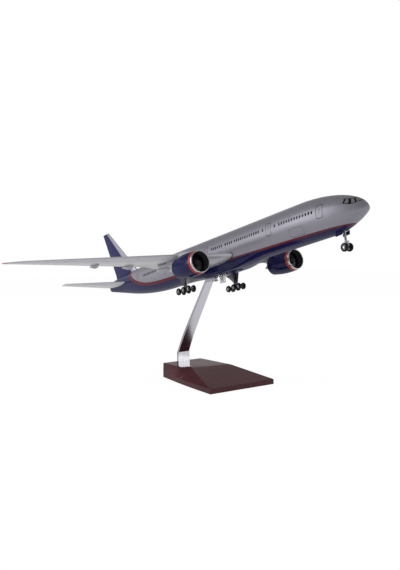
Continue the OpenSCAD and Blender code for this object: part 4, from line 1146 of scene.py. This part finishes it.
class AIRLINER_OT_cabin_windows(bpy.types.Operator):
    """Builds the rows of dark cabin windows along both sides"""

    bl_idname = "airliner.cabin_windows"
    bl_label = "Cabin windows"

    def execute(self, context):
        sizes = context.scene.airliner_hull
        width, height, pitch = (size / MM for size in
                                (sizes.window_w, sizes.window_h, sizes.window_pitch))
        outline = round_rect(width, height, width * WINDOW_ROUND)
        for side_name, side in SIDES.items():
            bm = bmesh.new()
            for start, count in WINDOW_RUNS:
                for i in range(count):
                    s = start + i * pitch
                    print_patch(bm, outline, lambda a, b, lift:
                                hull_side(s + a, WINDOW_Z + b, side, lift))
            bmesh.ops.recalc_face_normals(bm, faces=bm.faces)
            finish_piece("cabin_windows_" + side_name, bm, "window_glass")
        return {"FINISHED"}


DOOR_STATIONS = (41.0, 105.0, 206.0, 288.0, 353.5)
DOOR_Z, DOOR_CORNER = 2.3, 1.3
# A door's small pane as (width, height, corner, line) and its handle as (width, height, corner)
DOOR_PANE, PANE_AHEAD, PANE_UP = (1.5, 2.3, 0.5, 0.22), 0.2, 1.2
DOOR_HANDLE, HANDLE_DOWN = (1.7, 0.3, 0.12), 1.2
# Cargo doors, on the starboard side alone, as (station, height, width, tallness)
CARGO_DOORS = ((70.9, -8.4, 17.2, 7.8), (262.0, -7.4, 16.0, 7.4))
CARGO_CORNER = 1.0


class AIRLINER_OT_doors(bpy.types.Operator):
    """Draws the cabin and cargo doors as thin printed lines, with their small panes"""

    bl_idname = "airliner.doors"
    bl_label = "Doors"

    def execute(self, context):
        sizes = context.scene.airliner_hull
        width, height, line = (size / MM for size in (sizes.door_w, sizes.door_h, sizes.line_w))
        for side_name, side in SIDES.items():
            lines, handles, hatches = bmesh.new(), bmesh.new(), bmesh.new()
            for s in DOOR_STATIONS:
                self.draw_outline(lines, s, DOOR_Z, width, height, DOOR_CORNER, line, side)
                self.draw_outline(lines, s - PANE_AHEAD, DOOR_Z + PANE_UP, *DOOR_PANE, side)
                print_patch(handles, round_rect(*DOOR_HANDLE), lambda a, b, lift:
                            hull_side(s + a, DOOR_Z - HANDLE_DOWN + b, side, lift))
            if side < 0:
                for s, z, wide, tall in CARGO_DOORS:
                    self.draw_outline(hatches, s, z, wide, tall, CARGO_CORNER, line, side)
            for name, bm, ink in (("door_lines_", lines, "line_ink"),
                                  ("door_handles_", handles, "line_ink"),
                                  ("hatch_lines_", hatches, "faint_ink")):
                if bm.faces:
                    bmesh.ops.recalc_face_normals(bm, faces=bm.faces)
                    finish_piece(name + side_name, bm, ink)
        return {"FINISHED"}

    def draw_outline(self, bm, s, z, width, height, radius, line, side):
        outer = round_rect(width, height, radius, 5)
        inner = round_rect(width - 2 * line, height - 2 * line, radius - line, 5)
        print_line(bm, self.divided(outer), self.divided(inner),
                   lambda a, b, lift: hull_side(s + a, z + b, side, lift))

    def divided(self, outline, parts=5):
        """The outline with each of its four straight sides cut so that it follows the skin."""
        points, count = [], len(outline)
        for i, (a, b) in enumerate(outline):
            points.append((a, b))
            if (i + 1) % (count // 4) == 0:
                c, d = outline[(i + 1) % count]
                points += [(mix(a, c, k / parts), mix(b, d, k / parts)) for k in range(1, parts)]
        return points


# Cockpit panes on each side: corners as (half breadth, height), from the inner lower one round
PANES = (((0.4, 3.0), (5.5, 2.1), (3.6, 5.6), (0.4, 6.1)),
         ((6.5, 1.7), (8.2, 1.6), (5.9, 5.9), (4.6, 5.7)),
         ((9.2, 1.9), (10.1, 3.0), (7.6, 6.7), (6.8, 6.2)))
FRAME_W = 0.55
FRAME_LIFT, PANE_LIFT = 0.03, 0.07
PANE_CUTS, PANE_SUNK = 7, 0.35


class AIRLINER_OT_cockpit(bpy.types.Operator):
    """Builds the cockpit's panes and their dark frames"""

    bl_idname = "airliner.cockpit"
    bl_label = "Cockpit"

    def execute(self, context):
        for name, grow, lift, finish in (
                ("cockpit_frames", FRAME_W, FRAME_LIFT, "frame_ink"),
                ("cockpit_panes", 0.0, PANE_LIFT, "cockpit_glass")):
            bm = bmesh.new()
            for side in SIDES.values():
                for corners in PANES:
                    self.build_pane(bm, corners, side, grow, lift)
            bmesh.ops.recalc_face_normals(bm, faces=bm.faces)
            finish_piece(name, bm, finish, angle=40)
        return {"FINISHED"}

    def build_pane(self, bm, corners, side, grow, lift):
        """A pane that follows the skin, its edge sunk into it."""
        wide = [Vector((max(0.05, c.x), c.y)) for c in grown([Vector(c) for c in corners], grow)]
        made = bmesh.ops.create_grid(bm, x_segments=PANE_CUTS, y_segments=PANE_CUTS,
                                     size=1)["verts"]
        for vert in made:
            u, v = (vert.co.x + 1) / 2, (vert.co.y + 1) / 2
            low, high = wide[0].lerp(wide[1], u), wide[3].lerp(wide[2], u)
            spot = low.lerp(high, v)
            vert.co = nose_side(spot.x, spot.y, side, lift)
        rim = {e for v in made for e in v.link_edges if e.is_boundary}
        low = bmesh.ops.extrude_edge_only(bm, edges=list(rim))["geom"]
        for vert in (v for v in low if isinstance(v, bmesh.types.BMVert)):
            inward = Vector((vert.co.x + 12, vert.co.y, vert.co.z - 2)).normalized()
            vert.co -= inward * PANE_SUNK
        bmesh.ops.edgeloop_fill(bm, edges=[e for e in low if isinstance(e, bmesh.types.BMEdge)])


# Engines: local z runs aft from the inlet's front

def engine_place(side):
    """Turns an engine's own frame into the row frame."""
    face = Matrix.Translation((-INLET_STATION, side * ENGINE.y, ENGINE.z))
    return TO_ROW @ face @ Matrix.Rotation(-math.pi / 2, 4, "Y")


TURN_STEPS, HUB_STEPS = 96, 48
COWL_RINGS, LIP_ARC_STEPS, COWL_GAP = 30, 19, 0.05
LIP_TOP_R = COWL_R - 1.1
LIP_DEPTH = LIP_L * 0.6
NOZZLE_R, NOZZLE_WALL = COWL_R - 1.9, 0.7
DUCT_R = THROAT_R + 0.2
COWL_WIDEST, COWL_BEND = 0.38, 0.7
FAN_Z, FAN_DEPTH, FAN_HUB_R, FAN_PIN_R = 7.0, 3.6, 3.2, 1.05
FAN_TIP_GAP = 0.35
# The spinner's outline ahead of the hub, as (radius, distance ahead of the hub's front)
SPINNER = ((0, 4.4), (0.7, 4.1), (1.9, 2.6), (2.7, 1.2), (FAN_HUB_R, 0))
PIN_HOLE_AHEAD = 0.9
# A blade's twist in degrees and half width from root to tip, and its sweep
BLADE_TWIST, BLADE_HALF_W, BLADE_SWEEP = (22, 62), (1.5, 1.95), 0.1
BLADE_T, BLADE_SUNK, BLADE_WIDEST = 0.00028, 0.3, 0.8


def cowl_out(z):
    t = (z - LIP_L) / (COWL_L - LIP_L)
    if t < COWL_WIDEST:
        return mix(LIP_TOP_R, COWL_R, swell(t / COWL_WIDEST, 2, 2))
    return mix(COWL_R, NOZZLE_R, sweep_up((t - COWL_WIDEST) / (1 - COWL_WIDEST), COWL_BEND))


def cowl_in(z):
    """The duct's wall, straight over its front half."""
    t = (z - LIP_L) / (COWL_L - LIP_L)
    return mix(DUCT_R, NOZZLE_R - NOZZLE_WALL, clamp01(2 * t - 1))


class AIRLINER_OT_engines(bpy.types.Operator):
    """Builds each engine's cowl, inlet lip, fan, core and pylon"""

    bl_idname = "airliner.engines"
    bl_label = "Engines"

    def execute(self, context):
        blades = context.scene.airliner_details.fan_blades
        for side_name, side in SIDES.items():
            place = engine_place(side)
            self.build_cowl(side_name, place)
            self.build_lip(side_name, place)
            self.build_fan(side_name, place, blades)
            merged_copy("engine_core_" + side_name, "core_" + side_name, "core_metal",
                        flat=0.5, angle=40)
            merged_copy("pylon_" + side_name, "pylon_skin_" + side_name, "grey_paint",
                        angle=40, bevel=PYLON_EDGE)
        return {"FINISHED"}

    def build_cowl(self, side_name, place):
        bm = bmesh.new()
        zs = spread(COWL_RINGS, LIP_L + COWL_GAP, COWL_L)
        outer = [(cowl_out(z), z) for z in zs]
        inner = [(cowl_in(z), z) for z in reversed(zs)]
        turned(bm, outer + inner + outer[:1], TURN_STEPS)
        finish_piece("cowl_skin_" + side_name, bm, "cowl_paint",
                     stands_for=("cowl_" + side_name,), place=place, angle=50)

    def build_lip(self, side_name, place):
        bm = bmesh.new()
        middle, half = (LIP_TOP_R + THROAT_R) / 2, (LIP_TOP_R - THROAT_R) / 2
        front = [(middle - half * math.cos(a), LIP_DEPTH - LIP_DEPTH * math.sin(a))
                 for a in spread(LIP_ARC_STEPS, 0, math.pi)]
        turned(bm, [(THROAT_R, LIP_L), *front, (LIP_TOP_R, LIP_L), (THROAT_R, LIP_L)], TURN_STEPS)
        finish_piece("inlet_ring_" + side_name, bm, "lip_silver",
                     stands_for=("inlet_lip_" + side_name,), place=place, angle=50)

    def build_fan(self, side_name, place, blades):
        """Twisted blades on a hub, and a pointed spinner."""
        body = "fan_" + side_name
        rear = FAN_Z + FAN_DEPTH
        bm = bmesh.new()
        turned(bm, [*((radius, FAN_Z - ahead) for radius, ahead in SPINNER),
                    (FAN_HUB_R, rear), (FAN_PIN_R, rear),
                    (FAN_PIN_R, FAN_Z - PIN_HOLE_AHEAD), (0, FAN_Z - PIN_HOLE_AHEAD)],
               HUB_STEPS)
        finish_piece("spinner_" + side_name, bm, "spinner_paint", body,
                     place=place, angle=40)
        bm = bmesh.new()
        for turn in circle(blades):
            made = bmesh.ops.create_grid(bm, x_segments=3, y_segments=6, size=1)["verts"]
            for vert in made:
                u, v = vert.co.x, (vert.co.y + 1) / 2
                radius = mix(FAN_HUB_R - BLADE_SUNK, DUCT_R - FAN_TIP_GAP, v)
                twist = math.radians(mix(*BLADE_TWIST, v))
                width = mix(*BLADE_HALF_W, math.sin(math.pi * v * BLADE_WIDEST))
                around = turn + u * width * math.sin(twist) / radius + BLADE_SWEEP * v * v
                height = FAN_Z + FAN_DEPTH / 2 + u * width * math.cos(twist)
                vert.co = (radius * math.cos(around), radius * math.sin(around), height)
        bmesh.ops.recalc_face_normals(bm, faces=bm.faces)
        fan = finish_piece("fan_blades_" + side_name, bm, "fan_metal", body,
                           (body,), place, 50)
        add_modifier(fan, "SOLIDIFY", thickness=BLADE_T, offset=0)


# Landing gear

AXLE_R = 0.6
TYRE_W, TYRE_CURVE, TYRE_STEPS, RIM_STEPS = 2.3, 0.8, 48, 40
HUB_SHARE = 0.58
# Wheel radius and half the spacing of a pair
NOSE_WHEEL, MAIN_WHEEL = (3.85, 3.2), (3.75, 3.25)
# Grooves of the tread: places, half widths at the top and the floor, and depth
GROOVES, GROOVE_TOP, GROOVE_FLOOR, GROOVE_DEPTH = (-0.24, 0.0, 0.24), 0.055, 0.03, 0.1


class AIRLINER_OT_wheels(bpy.types.Operator):
    """Builds the hubs and grooved tyres of every axle"""

    bl_idname = "airliner.wheels"
    bl_label = "Wheels"

    def execute(self, context):
        self.build_pair("nose", "nose_wheels", NOSE_WHEEL, "nose_hubs", "nose_tyres")
        merged_copy("nose_axle", "nose_axle_pin", "axle_steel", "nose_wheels", 0.5)
        for side_name in SIDES:
            for place in PLACES:
                ending = side_name + "_" + place
                body = "wheels_" + ending
                self.build_pair(ending, body, MAIN_WHEEL, "hubs_" + ending, "tyres_" + ending)
                merged_copy("axle_" + ending, "axle_pin_" + ending, "axle_steel",
                            body, 0.5)
        return {"FINISHED"}

    def build_pair(self, ending, body, sizes, hubs_node, tyres_node):
        """Two hubs and two tyres on one axle."""
        radius, half_track = sizes
        tyres, hubs = bmesh.new(), bmesh.new()
        for side in SIDES.values():
            spot = aircraft_point(body + "_roll") + Vector((0, side * half_track, 0))
            # The wheel's own Z points outboard
            face = Matrix.Translation(spot) @ Matrix.Rotation(-side * math.pi / 2, 4, "X")
            self.join(tyres, self.tyre_profile(radius), face, TYRE_STEPS)
            self.join(hubs, self.hub_profile(radius * HUB_SHARE), face, RIM_STEPS)
        finish_piece("rubber_" + ending, tyres, "tyre_rubber", body,
                     (tyres_node,), angle=45)
        finish_piece("rims_" + ending, hubs, "hub_metal", body,
                     (hubs_node,), angle=35)

    def join(self, bm, profile, face, steps):
        part = bmesh.new()
        turned(part, profile, steps)
        part.transform(face)
        add_part(bm, part)
        bmesh.ops.recalc_face_normals(bm, faces=bm.faces)

    def tyre_profile(self, radius):
        """Round shoulders and three shallow grooves in the tread."""
        rim, half = radius * HUB_SHARE + 0.02, TYRE_W / 2
        low = [(radius - TYRE_CURVE * (1 - math.sin(a)), -half + TYRE_CURVE * (1 - math.cos(a)))
               for a in spread(7, 0, math.pi / 2)]
        high = [(r, -z) for r, z in reversed(low)]
        floor = radius - GROOVE_DEPTH
        tread = []
        for z in GROOVES:
            tread += [(radius, z - GROOVE_TOP), (floor, z - GROOVE_FLOOR),
                      (floor, z + GROOVE_FLOOR), (radius, z + GROOVE_TOP)]
        return [(rim, -half), *low, *tread, *high, (rim, half), (rim, -half)]

    def hub_profile(self, radius):
        """A dished rim with a raised centre; the outer face is at the high end."""
        bore, half = AXLE_R + 0.02, TYRE_W / 2
        return [(bore, -half), (radius * 0.55, -half), (radius - 0.02, -half + 0.1),
                (radius - 0.02, half - 0.12), (radius - 0.22, half - 0.05),
                (radius - 0.34, half - 0.2), (radius - 0.45, half - 0.5),
                (radius * 0.55, half - 0.55), (radius * 0.48, half - 0.25),
                (bore + 0.42, half + 0.02), (bore, half + 0.05), (bore, -half)]


LEG_STATION, LEG_Y = 229.3, 34.0
# Widths of rounded edges, in metres
FINE_EDGE, SHEET_EDGE, PLATE_EDGE, PYLON_EDGE = 0.0001, 0.00012, 0.00015, 0.0004
# A leg's door: its two faces, and the corners of its outline as (ahead of the leg, below the
# wing) at its front and rear; then the height and corners of its foot
LEG_DOOR_Y = (35.8, 36.6)
LEG_DOOR_FRONT, LEG_DOOR_REAR = ((8.0, 0.4), (7.0, 4.0)), ((-7.6, 3.4), (-8.4, 0.4))
LEG_DOOR_FOOT_Z, LEG_DOOR_FOOT = -27.9, (1.6, -2.6)
BRACE_T, BRACE_SUNK = 0.9, 0.3
# Lower edge of a brace, from the leg to the belly, as (inboard of the leg, height)
BRACE_EDGE = ((1.3, -28.2), (4.6, -24.9), (7.8, -22.4), (11.4, -20.4))


class AIRLINER_OT_legs(bpy.types.Operator):
    """Dresses the legs, bogies and gear doors, and braces the main legs"""

    bl_idname = "airliner.legs"
    bl_label = "Legs and doors"

    def execute(self, context):
        merged_copy("nose_leg", "nose_strut", "gear_metal", bevel=SHEET_EDGE)
        # The nose doors carry a darker navy, painted shade
        merged_copy("nose_doors", "nose_door_plates", "door_navy",
                    bevel=PLATE_EDGE)
        for side_name, side in SIDES.items():
            merged_copy("main_leg_" + side_name, "main_strut_" + side_name, "leg_metal",
                        bevel=SHEET_EDGE)
            self.build_door(side_name, side)
            merged_copy("bogie_" + side_name, "bogie_beam_" + side_name, "leg_metal",
                        bevel=PLATE_EDGE)
            self.build_brace(side_name, side)
        return {"FINISHED"}

    def build_door(self, side_name, side):
        """The plate outboard of a main leg, widest under the wing."""
        top, low = LEG_DOOR_FRONT
        front, middle, rear = (wing_low(LEG_STATION - ahead, LEG_DOOR_Y[0])
                               for ahead in (top[0], 0, LEG_DOOR_REAR[1][0]))
        outline = [(top[0], front - top[1]), (low[0], middle - low[1]),
                   *((ahead, LEG_DOOR_FOOT_Z) for ahead in LEG_DOOR_FOOT),
                   *((ahead, rear - below) for ahead, below in LEG_DOOR_REAR)]
        bm = bmesh.new()
        loft(bm, [[Vector((ahead - LEG_STATION, side * face, z)) for ahead, z in outline]
                  for face in LEG_DOOR_Y])
        door = finish_piece("leg_door_plate_" + side_name, bm, "door_paint",
                            stands_for=("leg_door_" + side_name,), angle=30)
        add_modifier(door, "BEVEL", width=PLATE_EDGE, segments=2)

    def build_brace(self, side_name, side):
        """The sheet that braces a main leg towards the belly."""
        low = [(LEG_Y - inboard, z) for inboard, z in BRACE_EDGE]
        high = [(y, wing_low(LEG_STATION, y) + BRACE_SUNK) for y, _ in reversed(low)]
        bm = bmesh.new()
        loft(bm, [[Vector((-LEG_STATION + ahead, side * y, z)) for y, z in low + high]
                  for ahead in (-BRACE_T / 2, BRACE_T / 2)])
        brace = finish_piece("leg_brace_" + side_name, bm, "gear_metal", angle=30)
        add_modifier(brace, "BEVEL", width=FINE_EDGE, segments=2)


class AIRLINER_OT_lamp(bpy.types.Operator):
    """Dresses the clear lamp under the belly and the pieces that hold it"""

    bl_idname = "airliner.lamp"
    bl_label = "Belly lamp"

    def execute(self, context):
        merged_copy("lamp_cup", "lamp_cover", "clear_plastic",
                    bevel=PLATE_EDGE)
        merged_copy("lamp_bulb", "lamp_glass", "bulb_glass", flat=0.5)
        merged_copy("lamp_screws", "lamp_screw_set", "screw_steel")
        merged_copy("belly_block", "belly_timber", "plain_wood")
        return {"FINISHED"}


class AIRLINER_OT_stand(bpy.types.Operator):
    """Dresses the lacquered base, the polished strip and their screws"""

    bl_idname = "airliner.stand"
    bl_label = "Stand"

    def execute(self, context):
        sizes = context.scene.airliner_details
        merged_copy("base", "base_block", "lacquered_wood", angle=30,
                    bevel=sizes.base_bevel)
        merged_copy("strip", "strip_metal", "strip_metal", flat=0.3, angle=30,
                    bevel=sizes.strip_bevel)
        merged_copy("base_screws", "base_screw_pair", "screw_steel")
        merged_copy("flange_screws", "flange_screw_pair", "screw_steel")
        return {"FINISHED"}


# Stage

CAMERA_AT = Vector((0.6032, -0.4523, 0.1450))
CAMERA_WAY = Vector((-0.80747, 0.58768, -0.05119))
CAMERA_RIGHT = Vector((0.58892, 0.80809, -0.01252))
LAMP_AIM = Vector((0.0, 0.0, 0.13))
# Place and size of each lamp; its power is the setting of the same name
LAMPS = {"key": ((-0.77, -1.18, 0.5), (0.7, 1.2)),
         "fill": ((1.25, 0.85, 0.45), (0.3, 0.6)),
         "back": ((-1.1, 0.9, 0.9), (1.0, 0.6))}
# Nine tenths of the floor's look is its own white; the rest is lit and keeps a soft shadow
FLOOR_Z, FLOOR_COLOUR = -0.0002, (0.86, 0.86, 0.87, 1)
FLOOR_GLOW, FLOOR_GLOW_SHARE = 1.06, 0.9
# Mirrors meet a dimmer part of the room above a height and round one way
DIM_LIGHT, DIM_HEIGHT = 0.3, 0.31
DIM_WAY, DIM_WAY_REACH = Vector((0.35, -0.937, 0.0)), 0.85


def area_lamp(name, spot, size, power):
    lamp = bpy.data.lights.new(name, "AREA")
    lamp.shape = "RECTANGLE"
    lamp.size, lamp.size_y = size
    lamp.energy = power
    piece = placed(name, lamp)
    piece.location = spot
    piece.rotation_euler = (LAMP_AIM - Vector(spot)).to_track_quat("-Z", "Y").to_euler()


class AIRLINER_OT_stage(bpy.types.Operator):
    """Builds the camera, the floor, the lamps and the room's even light"""

    bl_idname = "airliner.stage"
    bl_label = "Stage"

    def execute(self, context):
        settings = context.scene.airliner_stage
        self.build_camera(settings)
        self.build_floor(settings)
        self.build_world(settings)
        for name, (spot, size) in LAMPS.items():
            area_lamp(name, spot, size, getattr(settings, name + "_power"))
        context.scene.view_settings.view_transform = "Standard"
        return {"FINISHED"}

    def build_camera(self, settings):
        camera = bpy.data.cameras.new("camera")
        camera.sensor_fit = "VERTICAL"
        camera.sensor_height = 36
        camera.lens = settings.lens
        camera.clip_start = 0.01
        piece = placed("camera", camera)
        turn = Matrix((CAMERA_RIGHT, CAMERA_RIGHT.cross(CAMERA_WAY), -CAMERA_WAY)).transposed()
        piece.matrix_world = Matrix.Translation(CAMERA_AT) @ turn.to_4x4()
        bpy.context.scene.camera = piece

    def white_where_seen(self, surface):
        """1 for rays of the camera, mirrors and glass, which see the plain white backdrop."""
        rays = [surface.add("ShaderNodeLightPath", output=name)
                for name in ("Is Camera Ray", "Is Glossy Ray", "Is Transmission Ray")]
        return rays[0].most(rays[1]).most(rays[2])

    def build_floor(self, settings):
        bm = bmesh.new()
        bmesh.ops.create_grid(bm, x_segments=1, y_segments=1, size=settings.floor_size / 2)
        mesh = mesh_of("floor", bm)
        mesh.transform(Matrix.Translation((0, 0, FLOOR_Z)))
        surface = Surface("floor_white")
        seen_direct = self.white_where_seen(surface)
        lit = surface.add("ShaderNodeBsdfDiffuse", None, {"Color": FLOOR_COLOUR})
        glow = surface.add("ShaderNodeEmission", None,
                           {"Color": (1, 1, 1, 1), "Strength": FLOOR_GLOW})
        both = surface.add("ShaderNodeMixShader", None,
                           {0: seen_direct * FLOOR_GLOW_SHARE, 1: lit, 2: glow})
        surface.add("ShaderNodeOutputMaterial", None, {"Surface": both})
        mesh.materials.append(surface.material)
        placed("floor", mesh)

    def build_world(self, settings):
        world = bpy.data.worlds.new("room")
        bpy.context.scene.world = world
        world.use_nodes = True
        surface = Surface("room", world.node_tree)
        even, white, dim = (
            surface.add("ShaderNodeBackground", None, {"Color": (1, 1, 1, 1), "Strength": light})
            for light in (settings.sky, 1.0, DIM_LIGHT))
        way = surface.add("ShaderNodeTexCoord", output="Generated")
        height = surface.add("ShaderNodeSeparateXYZ", None, {0: way}, "Z")
        flag = surface.add("ShaderNodeVectorMath", {"operation": "DOT_PRODUCT"},
                           {0: way, 1: DIM_WAY}, "Value")
        direct = surface.add("ShaderNodeLightPath", output="Is Camera Ray")
        dark = (height - DIM_HEIGHT).mask(0.12).most((flag - DIM_WAY_REACH).mask(0.07))
        dark = dark * (1.0 - direct)
        mirrored = surface.add("ShaderNodeMixShader", None, {0: dark, 1: white, 2: dim})
        both = surface.add("ShaderNodeMixShader", None,
                           {0: self.white_where_seen(surface), 1: even, 2: mirrored})
        surface.add("ShaderNodeOutputWorld", None, {"Surface": both})


OPERATORS = (AIRLINER_OT_hull, AIRLINER_OT_belly_fairing, AIRLINER_OT_wings, AIRLINER_OT_tail,
             AIRLINER_OT_cabin_windows, AIRLINER_OT_doors, AIRLINER_OT_cockpit,
             AIRLINER_OT_engines, AIRLINER_OT_wheels, AIRLINER_OT_legs, AIRLINER_OT_lamp,
             AIRLINER_OT_stand, AIRLINER_OT_stage)
GROUPS = {"airliner_colours": LiveryColours, "airliner_hull": HullSizes,
          "airliner_details": DetailSizes, "airliner_stage": StageSettings}


class AIRLINER_PT_panel(bpy.types.Panel):
    """Lists the pieces and their sizes and colours"""

    bl_idname = "AIRLINER_PT_panel"
    bl_label = "Desk model airliner"
    bl_space_type = "VIEW_3D"
    bl_region_type = "UI"
    bl_category = "Airliner"

    def draw(self, context):
        for name, group in GROUPS.items():
            box = self.layout.box()
            for key in group.__annotations__:
                box.prop(getattr(context.scene, name), key)
        for operator in OPERATORS:
            self.layout.operator(operator.bl_idname)


CLASSES = (*GROUPS.values(), *OPERATORS, AIRLINER_PT_panel)


def register():
    for kind in CLASSES:
        bpy.utils.register_class(kind)
    for name, group in GROUPS.items():
        setattr(bpy.types.Scene, name, PointerProperty(type=group))


def unregister():
    for name in GROUPS:
        delattr(bpy.types.Scene, name)
    for kind in reversed(CLASSES):
        bpy.utils.unregister_class(kind)


def main():
    register()
    for operator in OPERATORS:
        getattr(bpy.ops.airliner, operator.bl_idname.split(".")[1])()


if __name__ == "__main__":
    main()
